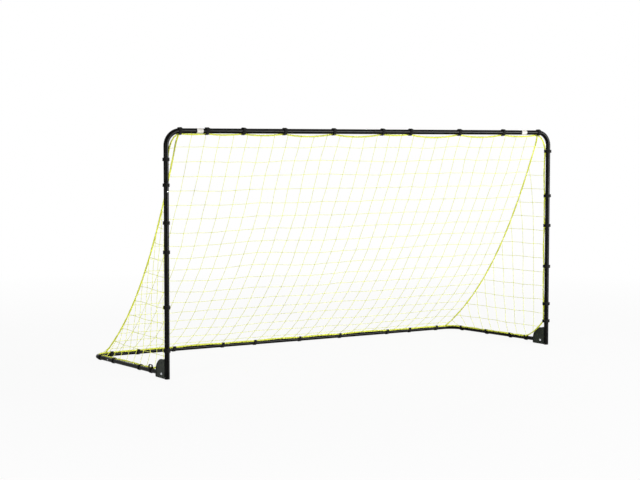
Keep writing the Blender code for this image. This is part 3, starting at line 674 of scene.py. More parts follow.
for side, sign in SIDES:
    outward = (sign, 0, 0)
    at = (sign * post_x, post_y, post_button_z)
    snap_button(f"{side}_post_button", stand(at, (0, sign, 0), (0, 0, 1)), FRONT_RADIUS)
    at = (sign * (post_x - CROSSBAR_LEG - BUTTON_SETBACK), post_y, crossbar_z)
    snap_button(f"{side}_crossbar_button", stand(at, (0, 0, 1), outward), FRONT_RADIUS)
    at = (sign * post_x, side_button, 0)
    snap_button(f"{side}_side_button", base_place @ stand(at, outward, (0, 1, 0)), BASE_RADIUS)
    at = (sign * (post_x - CORNER_RAIL_LEG - BUTTON_SETBACK), base_arm, 0)
    snap_button(f"{side}_rail_button", base_place @ stand(at, (0, 1, 0), outward), BASE_RADIUS)
at = (-BUTTON_SETBACK, 0, 0)
snap_button("centre_crossbar_button", bar_middle @ stand(at, (0, 0, 1), (1, 0, 0)), FRONT_RADIUS)
snap_button("centre_rail_button", rail_middle @ stand(at, (0, 1, 0), (1, 0, 0)), BASE_RADIUS)

# Lock buttons: two in each side tube, pushed out by a V spring into the plates' holes. They are shown
# pressed in, as the model stores them. The V spring is a bent strip of oiled spring steel.

LOCK_HEAD = 0.0085
LOCK_FLANGE = 0.005
LOCK_DOME = 0.001
ROLLED_ACROSS = 2500.0
ROLLED_ALONG = 60.0


def oiled_steel():
    """Grey metal with an oily shine, and fine lines that the rolling drew out along the strip."""
    material, tree, shader = new_finish("oiled_spring_steel")
    place = add_node(tree, "ShaderNodeTexCoord", {}).outputs["Object"]
    scale = (ROLLED_ACROSS, ROLLED_ALONG, ROLLED_ACROSS)
    stretched = add_node(tree, "ShaderNodeMapping", {"Vector": place, "Scale": scale}).outputs[0]
    streaks = {"Vector": stretched, "Scale": 1.0, "Detail": 3.0}
    rolled = add_node(tree, "ShaderNodeTexNoise", streaks).outputs["Fac"]
    greys = {0: rolled, 6: linear("77777a"), 7: linear("a0a0a2")}
    colour = add_node(tree, "ShaderNodeMix", greys, data_type="RGBA").outputs[2]
    add_node(tree, shader, {"Base Color": colour, "Metallic": 1.0, "Roughness": 0.32})
    return material


spring_steel = oiled_steel()
for side, sign in SIDES:
    spring = frame["nodes"][f"{side}_lock_spring"].data
    spring.materials.clear()
    spring.materials.append(spring_steel)
    for face, out in (("outer", sign), ("inner", -sign)):
        top = BASE_RADIUS - PLATE_GAP
        button = domed_head(top - LOCK_HEAD, top, LOCK_DOME, LOCK_FLANGE)
        place = base_place @ stand((sign * post_x, LOCK_RADIUS, 0), (out, 0, 0), (0, 1, 0))
        name = f"{side}_lock_button_{face}"
        add_piece(f"{name}_pin", moved(button, place), zinc, name, name)

# Label bands: plain white self-adhesive vinyl wrapped round the crossbar beside its outer joints. Vinyl
# has a soft sheen, and lifts into slight wrinkles where it is wrapped by hand.

LABEL = 0.0004
LABEL_EDGE = 0.0001
# Warm white with a soft sheen, wrinkles about 12 mm across and faint smudges.
white_film = mottled(
    "white_self_adhesive_vinyl", ("d4d1ca", "aca89e"), fine=(0.012, 2.0), coarse=(0.02, 6.0),
    worn=(0.5, 0.8), relief=(0.4, 0.0006), roughness=0.42, surface={"Specular IOR Level": 0.06},
)
vinyl = (white_film, "white_vinyl_label")
for side, sign in SIDES:
    low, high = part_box(f"{side}_label_band")
    bore, width = FRONT_RADIUS + 0.0001, high.x - low.x
    surface = [(bore + LABEL, x) for x in (LABEL_EDGE, width / 2, width - LABEL_EDGE)]
    band = turned([(bore, 0), *surface, (bore, width)], closed=True)
    band = moved(band, stand((low.x, post_y, crossbar_z), (1, 0, 0), (0, 0, 1)))
    add_piece(f"{side}_vinyl_band", band, vinyl, "front_frame", f"{side}_label_band")

# Straps: 25 mm black nylon hook-and-loop tape round tube and hem rope, a little over two turns on the
# front frame and a turn and a third on the base, with its end left standing off. Nylon tape is dull, with
# a fine rib across it and a fuzz of loops.

STRAP_WIDTH = 0.025
STRAP = 0.0024
STRAP_PLAY = 0.0003
STRAP_STEPS = 50
STRAP_ROUNDING = 0.0006
STRAP_TILT = 0.05
TAIL_TURN = 0.5
TAIL_FLARE = 0.006
FRONT_TURNS, FRONT_END = 2.2, 3.6
BASE_TURNS, RAIL_END, SIDE_END = 1.3, 1.25, 1.2
ROPE_RADIUS = 0.0035
ROPE_STANDOFF = 0.0015
BAR_ROPE_LEAN = math.radians(-60)
POST_ROPE_LEAN = math.radians(37)
BASE_ROPE_LEAN = math.radians(38)
CROSSBAR_STRAPS = {"left": (0.112, 0.337, 0.646, 1.004, 1.448), "right": (0.112, 0.492, 0.950, 1.442, 1.714)}
RAIL_STRAPS = {"left": (0.155, 0.393, 0.720, 1.177, 1.491), "right": (0.204, 0.504, 0.754, 1.264, 1.681)}
TOP_CORNER_STRAPS = {"left": 0.207, "right": 0.158}
POST_STRAPS = {"left": (0.210, 0.527, 0.930, 1.143, 1.417), "right": (0.204, 0.352, 0.673, 1.022, 1.274)}
SIDE_STRAPS = {"left": (0.260, 0.455, 0.916), "right": (0.260, 0.470, 0.800)}
REAR_CORNER_STRAP = 0.135
OPEN_LOOP_HEIGHT = 0.046
OPEN_LOOP_FOOT = 0.008
OPEN_LOOP_RADIUS = 0.013
OPEN_LOOP_SHIFT = 0.006
bar_rope_side = Vector((0, math.cos(BAR_ROPE_LEAN), math.sin(BAR_ROPE_LEAN)))
rail_rope_side = Vector((0, -math.sin(BASE_ROPE_LEAN), math.cos(BASE_ROPE_LEAN)))
post_rope_side, side_rope_side = {}, {}
for side, sign in SIDES:
    post_rope_side[side] = Vector((-sign * math.cos(POST_ROPE_LEAN), math.sin(POST_ROPE_LEAN), 0))
    side_rope_side[side] = Vector((-sign * math.sin(BASE_ROPE_LEAN), 0, math.cos(BASE_ROPE_LEAN)))


def hook_and_loop():
    """Dull black, with a rib each millimetre. The fuzz, 0.3 mm loops in the real tape, is drawn at 1.1 mm."""
    material, tree, shader = new_finish("black_nylon_hook_and_loop_tape")
    texture = add_node(tree, "ShaderNodeTexCoord", {})
    ribs = {"Vector": texture.outputs["UV"], "Scale": math.pi / 10 / 0.001, "Distortion": 0.4}
    rib = add_node(tree, "ShaderNodeTexWave", ribs, bands_direction="X").outputs["Fac"]
    loops = {"Vector": texture.outputs["Object"], "Scale": 1 / 0.0011, "Detail": 6.0}
    fuzz = add_node(tree, "ShaderNodeTexNoise", loops).outputs["Fac"]
    height = add_node(tree, "ShaderNodeMath", {0: rib, 1: fuzz}, operation="ADD").outputs[0]
    blacks = {0: fuzz, 6: linear("080807"), 7: linear("181715")}
    colour = add_node(tree, "ShaderNodeMix", blacks, data_type="RGBA").outputs[2]
    bump = add_node(tree, "ShaderNodeBump", {"Height": height, "Strength": 0.6, "Distance": 0.0005})
    finish = {"Base Color": colour, "Normal": bump.outputs["Normal"], "Roughness": 0.9}
    finish |= {"Specular IOR Level": 0.08, "Sheen Weight": 0.05, "Sheen Roughness": 0.5}
    add_node(tree, shader, finish)
    return material


tape = (hook_and_loop(), "black_polyethylene")


def tape_mesh(path):
    """Tape whose middle follows a path in the XY plane, and whose width lies along local Z."""
    bm = bmesh.new()
    along = bm.verts.layers.float.new("along")
    verts = [bm.verts.new(point) for point in path]
    for vert, last in zip(verts[1:], verts):
        vert[along] = last[along] + (vert.co - last.co).length
    edges = [bm.edges.new(pair) for pair in zip(verts, verts[1:])]
    bmesh.ops.translate(bm, vec=(0, 0, -STRAP_WIDTH / 2), verts=verts)
    for _ in range(2):
        made = bmesh.ops.extrude_edge_only(bm, edges=edges)["geom"]
        verts = only(made, BMVert)
        edges = [edge for edge in only(made, BMEdge) if all(vert in verts for vert in edge.verts)]
        bmesh.ops.translate(bm, vec=(0, 0, STRAP_WIDTH / 2), verts=verts)
    tape_map = bm.loops.layers.uv.new("UVMap")
    for face in bm.faces:
        for loop in face.loops:
            loop[tape_map].uv = (loop.vert[along], loop.vert.co.z)
    bmesh.ops.recalc_face_normals(bm, faces=bm.faces)
    strap = put("strap", as_mesh(bm))
    wall = strap.modifiers.new("tape", "SOLIDIFY")
    wall.thickness, wall.offset = STRAP, 0
    rim = strap.modifiers.new("rim", "BEVEL")
    rim.width, rim.segments, rim.limit_method, rim.angle_limit = STRAP_ROUNDING, 2, "ANGLE", math.radians(60)
    return settled(strap)


def strap_mesh(tube_radius, rope_out, turns, end_angle):
    """One strap about local Z, round the tube and a rope that lies rope_out along local +X.

    It makes a number of turns and ends at an angle from the rope."""
    sweep = 2 * math.pi * turns
    tangent = math.acos((tube_radius - ROPE_RADIUS) / rope_out)
    path = []
    for turn in even(sweep, round(STRAP_STEPS * turns)):
        tail = max(0, (turn - sweep + TAIL_TURN) / TAIL_TURN)
        lift = STRAP * (0.55 + 1.02 * turn / (2 * math.pi)) + TAIL_FLARE * tail**2
        angle = math.remainder(end_angle - sweep + turn, 2 * math.pi)
        centre, radius = (rope_out, ROPE_RADIUS + lift) if abs(angle) < tangent else (0, tube_radius + lift)
        path.append(Vector((centre + radius * math.cos(angle), radius * math.sin(angle), 0)))
    return tape_mesh(path)


def add_straps(name, line, stations, tube_radius, body, turns, end_angle):
    """The straps along one tube, whose rope lies on local +X of the line and which runs along local Z."""
    straps = []
    rope_out = tube_radius + ROPE_STANDOFF + ROPE_RADIUS
    for height in stations:
        strap = strap_mesh(tube_radius + STRAP_PLAY, rope_out, turns, end_angle)
        tilt = Matrix.Rotation(STRAP_TILT * math.sin(5.3 * height + 1), 4, "Y")
        strap.transform(line @ Matrix.Translation((0, 0, height)) @ tilt)
        straps.append(strap)
    add_piece(name, joined(straps), tape, body)


def from_sides(insets):
    """Places along X of straps set in from the posts, from left to right."""
    return sorted(sign * (post_x - inset) for side, sign in SIDES for inset in insets[side])


bar_line = stand((0, post_y, crossbar_z), (1, 0, 0), bar_rope_side)
rail_line = base_place @ stand((0, base_arm, 0), (1, 0, 0), rail_rope_side)
bar_stations, rail_stations = from_sides(CROSSBAR_STRAPS), from_sides(RAIL_STRAPS)
front, base = (FRONT_RADIUS, "front_frame", FRONT_TURNS, FRONT_END), (BASE_RADIUS, "base_frame", BASE_TURNS)
add_straps("crossbar_straps", bar_line, bar_stations, *front)
add_straps("rear_rail_straps", rail_line, rail_stations, *base, RAIL_END)
post_lines, side_lines, post_stations, side_stations = {}, {}, {}, {}
for side, sign in SIDES:
    x = sign * post_x
    post_lines[side] = stand((x, post_y, 0), (0, 0, 1), post_rope_side[side])
    post_stations[side] = [*POST_STRAPS[side], crossbar_z - TOP_CORNER_STRAPS[side]]
    add_straps(f"{side}_post_straps", post_lines[side], post_stations[side], *front)
    side_lines[side] = base_place @ stand((x, post_y - pivot.y, 0), (0, 1, 0), side_rope_side[side])
    side_stations[side] = [*SIDE_STRAPS[side], pivot.y - post_y + base_arm - REAR_CORNER_STRAP]
    add_straps(f"{side}_side_straps", side_lines[side], side_stations[side], *base, -SIDE_END * sign)

# Open strap loop: one more piece of the tape, left standing as a loop beside the left side tube's first
# strap. It is tied only at its foot, and rides on the base frame.

legs_top = OPEN_LOOP_HEIGHT - OPEN_LOOP_RADIUS
leg = [(OPEN_LOOP_RADIUS, OPEN_LOOP_FOOT + y) for y in even(legs_top - OPEN_LOOP_FOOT, 4)[:-1]]
arch = [(x, y) for x, y, _ in arc_points((0, legs_top), OPEN_LOOP_RADIUS, math.pi, 16)]
path = leg + arch + [(-x, y) for x, y in reversed(leg)]
loop = tape_mesh([Vector((x, y, 0)) for x, y in path])
at = (-post_x - OPEN_LOOP_SHIFT, post_y - pivot.y + SIDE_STRAPS["left"][0], 0)
loop.transform(base_place @ stand(at, (0, 1, 0), (-1, 0, 0)) @ Matrix.Rotation(math.pi, 4, "Y"))
piece = add_piece("left_open_strap_loop", loop, tape, "base_frame")
foot = tuple(base_place @ Vector((0, 0.2, OPEN_LOOP_FOOT)))
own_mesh(piece)

# Hem ropes: 7 mm three-strand polypropylene rope, fluorescent yellow, threaded through the net's edge
# and held to the tubes by the straps. Between straps the net's pull draws it off the tube in shallow bows.

ROPE_LAY = 0.024
ROPE_STEP = 0.0026
ROPE_CREASE = 80
STRAND_DIP = 0.20
BAR_SLACK = 0.095
RAIL_SLACK = 0.055
POST_SLACK = 0.045
SIDE_SLACK = 0.020
BOW_STEPS = 12
LACE_PITCH = 0.034
TWINE_RADIUS = 0.0016
TWINE_LAY = 0.010
CORNER_PULL = (0.035, 0.014, -0.045)


def yellow_fibre(name, pale, groove_shade_and_patch_yellow, turn_length, strands):
    """Fluorescent polypropylene fibre: a matt yellow, deeper in the grooves between the twisted strands as
    painted shade and paler on their crests as painted highlight, the stripes fading into the deeper yellow in
    patches of some 5 cm.
    """
    material, tree, shader = new_finish(name)
    texture = add_node(tree, "ShaderNodeTexCoord", {})
    parts = add_node(tree, "ShaderNodeSeparateXYZ", {0: texture.outputs["UV"]})
    phase, around, turn = parts.outputs[1], parts.outputs[0], 2 * math.pi * strands
    for operation, amount in (("MULTIPLY", 1 / turn_length), ("ADD", around), ("MULTIPLY", turn)):
        phase = add_node(tree, "ShaderNodeMath", {0: phase, 1: amount}, operation=operation).outputs[0]
    lines = add_node(tree, "ShaderNodeMath", {0: phase}, operation="SINE").outputs[0]
    ridge = add_node(tree, "ShaderNodeMapRange", {"Value": lines, 1: -1.0, 2: 1.0}).outputs[0]
    patches = {"Vector": texture.outputs["Object"], "Scale": 1 / 0.05, "Detail": 4.0}
    fade = add_node(tree, "ShaderNodeTexNoise", patches).outputs["Fac"]
    # The colour follows the strands' height: painted shade in the grooves and painted highlight on the
    # crests, faded in random patches.
    amount = add_node(tree, "ShaderNodeMath", {0: ridge, 1: fade}, operation="MULTIPLY").outputs[0]
    lit_and_shaded_yellows = {0: amount, 6: linear(groove_shade_and_patch_yellow), 7: linear(pale)}
    colour = add_node(tree, "ShaderNodeMix", lit_and_shaded_yellows, data_type="RGBA").outputs[2]
    bump = add_node(tree, "ShaderNodeBump", {"Height": ridge, "Strength": 0.5, "Distance": 0.0004})
    finish = {"Base Color": colour, "Normal": bump.outputs["Normal"], "Roughness": 0.55}
    finish |= {"Sheen Weight": 0.2, "Sheen Roughness": 0.4, "Specular IOR Level": 0.15}
    # Painted glow: the cord gives off a little light in its own colour, so it looks brighter than the lamps
    # alone make it.
    add_node(tree, shader, {**finish, "Emission Color": colour, "Emission Strength": 0.05})
    return material


# Each fibre's paler yellow is the painted highlight on the strands' crests; its deeper one is the painted
# shade in their grooves and the tone of random patches.
laid = yellow_fibre("fluorescent_yellow_laid_polypropylene_rope", "f0f44a", "d6dc2a", ROPE_LAY, 12)
knotted = yellow_fibre("fluorescent_yellow_knotted_polypropylene_twine", "eff374", "d9df50", TWINE_LAY, 3)
rope_fibre, twine_fibre = (laid, "yellow_hem_rope"), (knotted, "yellow_net_twine")


def lengths_along(path):
    """Distance along a path to each of its points."""
    lengths = [0.0]
    for a, b in zip(path, path[1:]):
        lengths.append(lengths[-1] + (b - a).length)
    return lengths


def even_points(path, step):
    """Points at an even step along a path, and the path's length."""
    lengths = lengths_along(path)
    points, j = [], 0
    for want in even(lengths[-1], max(2, round(lengths[-1] / step))):
        while j < len(path) - 2 and lengths[j + 1] < want:
            j += 1
        share = (want - lengths[j]) / max(lengths[j + 1] - lengths[j], 1e-9)
        points.append(path[j].lerp(path[j + 1], min(1, share)))
    return points, lengths[-1]


def rope_section():
    """Section of a three-strand rope: three round lobes."""
    outline = []
    for turn in even(2 * math.pi, 12)[:-1]:
        radius = ROPE_RADIUS * (1 - STRAND_DIP + STRAND_DIP * abs(math.cos(1.5 * turn)))
        outline.append((radius * math.cos(turn), radius * math.sin(turn), 0))
    return poly_curve([outline], "2D", closed=True)


section = rope_section()


def cord_mesh(obj, length):
    """The mesh of a cord given as a curve, with a UV that runs in metres along it."""
    obj.data.twist_mode, obj.data.use_fill_caps = "MINIMUM", True
    mesh = settled(obj)
    for loop in mesh.uv_layers[0].data:
        loop.uv.y *= length
    return mesh


def laid_rope(path):
    """Rope along a path. Its lobed section turns once in each lay."""
    points, length = even_points(path, ROPE_STEP)
    rope = poly_curve([points])
    rope.data.bevel_mode, rope.data.bevel_object = "OBJECT", section
    for point, along in zip(rope.data.splines[0].points, even(length, len(points) - 1)):
        point.tilt = 2 * math.pi * along / ROPE_LAY
    return cord_mesh(rope, length)


def twine_mesh(paths):
    """Twines along the paths, six-sided."""
    twine = poly_curve(paths)
    twine.data.bevel_depth, twine.data.bevel_resolution = TWINE_RADIUS, 1
    return cord_mesh(twine, sum(lengths_along(path)[-1] / len(paths) for path in paths))


def lacing(path):
    """The nets' border twines beside a rope, and the twine that binds them to it in a long spiral."""
    points, length = even_points(path, LACE_PITCH / 9)
    out = ROPE_RADIUS + TWINE_RADIUS * 0.8
    one, other, spiral = [], [], []
    for i, point in enumerate(points):
        along = (points[min(i + 1, len(points) - 1)] - points[max(i - 1, 0)]).normalized()
        side = along.cross(Vector((0.3, 1, 0.2))).normalized()
        across = along.cross(side)
        turn = 2 * math.pi * length * i / (len(points) - 1) / LACE_PITCH
        drift = 0.5 * math.sin(i * 0.11)
        away = (side * math.cos(drift) + across * math.sin(drift)) * out
        one.append(point + away)
        other.append(point - away)
        spiral.append(point + (side * math.cos(turn) + across * math.sin(turn)) * (out + TWINE_RADIUS * 0.6))
    return twine_mesh([one, other, spiral])


def bowed(line, stops, out, pull, slack):
    """Path of a rope held out from a line at its stops, and drawn off it between them by pull."""
    path = []
    for a, b in zip(stops, stops[1:]):
        for t in even(1, BOW_STEPS)[:-1]:
            sag = 4 * slack * (b - a) ** 2 * t * (1 - t)
            path.append(line @ Vector((out, 0, a + (b - a) * t)) + pull * sag)
    return path + [line @ Vector((out, 0, stops[-1]))]


def add_hem(name, path, body, node):
    """Rope and lacing along a path. They ride on a body where one is given."""
    rope = add_piece(f"{name}_rope", laid_rope(path), rope_fibre, body, node, ROPE_CREASE)
    return rope, add_piece(f"{name}_lacing", lacing(path), twine_fibre, body, crease=ROPE_CREASE)


def curve_between(a, control, b, count=14):
    return [a.lerp(control, t).lerp(control.lerp(b, t), t) for t in even(1, count)]


bar_out = FRONT_RADIUS + ROPE_STANDOFF + ROPE_RADIUS
rail_out = BASE_RADIUS + ROPE_STANDOFF + ROPE_RADIUS
bar_path = bowed(bar_line, bar_stations, bar_out, Vector((0, 0.25, -1)), BAR_SLACK)
rail_path = bowed(rail_line, rail_stations, rail_out, Vector((0, -0.78, 0.62)), RAIL_SLACK)
add_hem("crossbar_hem", bar_path, "front_frame", "crossbar_hem_and_straps")
add_hem("rear_rail_hem", rail_path, "base_frame", "rear_rail_hem_and_straps")
bend_centre = Vector((post_x - BEND_RADIUS, base_arm - BEND_RADIUS, rail_out * math.cos(BASE_ROPE_LEAN)))
round_bend = BEND_RADIUS - rail_out * math.sin(BASE_ROPE_LEAN)
post_paths, side_paths, corner_paths = {}, {}, {}
for side, sign in SIDES:
    bar_tip, rail_tip = (bar_path[0], rail_path[0]) if sign < 0 else (bar_path[-1], rail_path[-1])
    post_paths[side] = bowed(post_lines[side], post_stations[side], bar_out, post_rope_side[side], POST_SLACK)
    inset, back, lift = CORNER_PULL
    control = Vector((sign * (post_x - inset), post_y + back, crossbar_z + lift))
    corner_paths[side] = curve_between(post_paths[side][-1], control, bar_tip)
    path = post_paths[side] + corner_paths[side][1:]
    add_hem(f"{side}_post_hem", path, "front_frame", f"{side}_post_hem_and_straps")
    path = bowed(side_lines[side], side_stations[side], rail_out, side_rope_side[side], SIDE_SLACK)
    for x, y, _ in arc_points(bend_centre.xy, round_bend, math.pi / 2, 12):
        path.append(base_place @ Vector((sign * x, y, bend_centre.z)))
    side_paths[side] = path + [rail_tip]
    add_hem(f"{side}_side_hem", side_paths[side], "base_frame", f"{side}_side_hem_and_straps")

# Seam ropes: the same rope from the crossbar's end straps down to the rear rail, where the back and side
# nets are laced together.

NET_SAG = 0.17
NET_SAG_SKEW = 0.25
SEAM_X = 1.711
SEAM_INSET = 0.012
net_top = bar_line @ Vector((bar_out, 0, 0))
net_bottom = rail_line @ Vector((rail_out, 0, 0))
net_chord = net_bottom - net_top
sag_side = net_chord.normalized().cross(Vector((1, 0, 0)))
fold_start, fold_end = net_top.y, net_bottom.y - 0.004


def net_profile(drop):
    """Point of the sagging back net in its YZ plane, from drop 0 at the crossbar to 1 at the rail."""
    sag = NET_SAG * 4 * drop * (1 - drop) * (1 + NET_SAG_SKEW * (2 * drop - 1))
    return net_top + net_chord * drop + sag_side * sag


def follow_fold(piece):
    """Works the piece's place into its mesh; the piece stays where it is."""
    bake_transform(piece)


profile = [net_profile(drop) for drop in even(1, 200)]
seam_paths = {}
for side, sign in SIDES:
    insets = [SEAM_INSET * max(0, 1 - i / 8) ** 2 for i in range(len(profile))]
    seam = [Vector((sign * (SEAM_X - inset), point.y, point.z)) for inset, point in zip(insets, profile)]
    seam_paths[side] = seam
    for piece in add_hem(f"{side}_net_seam", seam, None, f"{side}_seam_rope"):
        follow_fold(piece)

# Back net: fluorescent yellow polypropylene twine, 3 mm thick, knotted into square meshes of 120 mm and
# whipped to the hem and seam ropes. Hand-knotted meshes sit a little uneven, and the net hangs slack.

MESH_COLUMNS = 29
FIRST_ROW = 0.105
ROW_PITCH = 0.1195
ROWS = 18
SLACK_FADE = 0.36
UNEVEN = 0.006
BILLOW = 0.016
TWINE_BOW = 0.003
KNOT_RADIUS = 0.003
reach = lengths_along(profile)
# The seed fixes which way each knot strays. This one keeps the folded net clear of the rear rail's middle.
noise.seed_set(4)


def crossing(path, axis, value):
    """Point where a path first passes a value on one axis, or its nearer end where it doesn't."""
    for a, b in zip(path, path[1:]):
        if (a[axis] - value) * (b[axis] - value) <= 0 and a[axis] != b[axis]:
            return a.lerp(b, (value - a[axis]) / (b[axis] - a[axis]))
    return min((path[0], path[-1]), key=lambda point: abs(point[axis] - value)).copy()


def net_point(x, arc):
    """Point of the back net at x, at a distance down from the crossbar."""
    near = max(1, next((i for i, length in enumerate(reach) if length >= arc), len(reach) - 1))
    share = (arc - reach[near - 1]) / (reach[near] - reach[near - 1])
    point = profile[near - 1].lerp(profile[near], share)
    top, bottom = crossing(bar_path, 0, x) - net_top, crossing(rail_path, 0, x) - net_bottom
    near_top, near_bottom = (max(0, 1 - gap / SLACK_FADE) ** 2 for gap in (arc, reach[-1] - arc))
    point += top * near_top + bottom * near_bottom
    point.x = x
    return point


def unsettled(point, amount, sway, seed):
    """Shift of a knot from its even place: each by itself, and all of a region together."""
    own = noise.noise_vector(point * 31 + Vector((seed, 0, 0)))
    return own * amount + noise.noise_vector(point * 1.9 + Vector((0, seed, 0))) * sway


def strung(knots, seed):
    """Path of a twine through its knots. It bows a little from each to the next."""
    path = []
    for i, (a, b) in enumerate(zip(knots, knots[1:])):
        bow = noise.noise_vector((a + b) * 17 + Vector((seed, i, 0))) * TWINE_BOW * (b - a).length / ROW_PITCH
        path += [a.lerp(b, t) + bow * (4 * t * (1 - t)) for t in even(1, 6)[:-1]]
    return path + [knots[-1]]


def twine_rings(radius, steps, places):
    """Rings of twine, one about local Z of each place."""
    bm = bmesh.new()
    for place in places:
        at = place @ Matrix.Translation((radius, 0, 0)) @ Matrix.Rotation(math.pi / 2, 4, "X")
        made = bmesh.ops.create_circle(bm, segments=4, radius=TWINE_RADIUS * 0.95, matrix=at)["verts"]
        edges = list({edge for vert in made for edge in vert.link_edges})
        bmesh.ops.spin(
            bm, geom=made + edges, cent=place.translation, axis=place.to_3x3().col[2], angle=2 * math.pi,
            steps=steps, use_merge=True,
        )
    return as_mesh(cleaned(bm))


turns = ((0.7, 0.3), (-0.8, -0.4))
turns = [Matrix.Rotation(turn, 4, "X") @ Matrix.Rotation(lean, 4, "Y") for turn, lean in turns]
knot = twine_rings(KNOT_RADIUS, 6, turns)
turns = ((-0.0024, 0.15), (0.0024, -0.2))
turns = [Matrix.Translation((0, 0, step)) @ Matrix.Rotation(lean, 4, "X") for step, lean in turns]
whipping = twine_rings(ROPE_RADIUS + TWINE_RADIUS * 0.7, 8, turns)


def tied(shape, point, z_axis, x_axis, turn):
    """A copy of a knot or a whipping at a point of the net."""
    copy = shape.copy()
    z, x = Vector(z_axis).normalized(), Vector(x_axis)
    copy.transform(stand(point, z, x - z * x.dot(z)) @ Matrix.Rotation(turn, 4, "Z"))
    return copy


row_arcs = [0, *(FIRST_ROW + ROW_PITCH * k for k in range(ROWS)), reach[-1]]
knots = []
for i in range(MESH_COLUMNS + 1):
    column = []
    for k, arc in enumerate(row_arcs):
        point = net_point(-SEAM_X + 2 * SEAM_X / MESH_COLUMNS * i, arc)
        if 0 < i < MESH_COLUMNS and 0 < k <= ROWS:
            ease = min(1, i / 2, (MESH_COLUMNS - i) / 2, k / 2, (ROWS + 1 - k) / 2)
            point += unsettled(point, UNEVEN * ease, BILLOW * ease, 3)
        column.append(point)
    knots.append(column)
columns = [strung(column, 1) for column in knots[1:-1]]
rows = [strung([column[k] for column in knots], 2) for k in range(1, ROWS + 1)]
net = [twine_mesh(columns), twine_mesh(rows)]
for i, column in enumerate(knots[1:-1], 1):
    for k, point in enumerate(column[1:-1], 1):
        down = column[k + 1] - column[k - 1]
        net.append(tied(knot, point, (1, 0, 0), down, 0.6 * ((i + k) % 2) + 0.2 * math.sin(i * 3 + k * 5)))
    for point in (column[0], column[-1]):
        net.append(tied(whipping, point, (1, 0, 0), (0, 0, 1), 0.4 * math.sin(i * 7)))
for column in (knots[0], knots[-1]):
    for k in range(1, ROWS + 1):
        net.append(tied(whipping, column[k], column[k + 1] - column[k - 1], (1, 0, 0), 0.5 * math.sin(k * 5)))
follow_fold(add_piece("back_net_twine", joined(net), twine_fibre, None, "back_net", ROPE_CREASE))

# Side nets: the same net, from the seam ropes to the hem ropes of posts and side tubes. A short rope, bowed
# inwards past the hinge plate, edges each from the post's lowest strap to the side tube.

SIDE_MESH = 0.118
SIDE_ROWS = 15
SIDE_UPRIGHTS = 10
FOLD_BELOW = 0.20
CUT_SLACK = 0.027
CUT_INWARD = 0.018
TIE_CLEARANCE = 0.007
EDGE_CLEARANCE = 0.02
SHORTEST = 0.03
FLARE = 0.45
SETTLED_EDGE = 0.2
ground_z = net_bottom.z + 0.008


def beside_straps(side, y):
    """Where an upright at y is tied to the side tube's rope: just beside a strap that lies there."""
    for station in side_stations[side]:
        off = y - (side_lines[side] @ Vector((0, 0, station))).y
        clear = STRAP_WIDTH / 2 + TIE_CLEARANCE
        if abs(off) < clear:
            return y - off + math.copysign(clear, off)
    return y


def add_cords(name, side, paths, ties, start=(0, fold_start, 0), end=(0, fold_end, 0)):
    """Twines of a side net with the knots and whippings on them, as one piece."""
    cords = joined([twine_mesh(paths)] + [tied(*tie, 0.7 * math.sin(i * 3)) for i, tie in enumerate(ties)])
    follow_fold(add_piece(name, cords, twine_fibre, None, f"{side}_side_net", ROPE_CREASE))


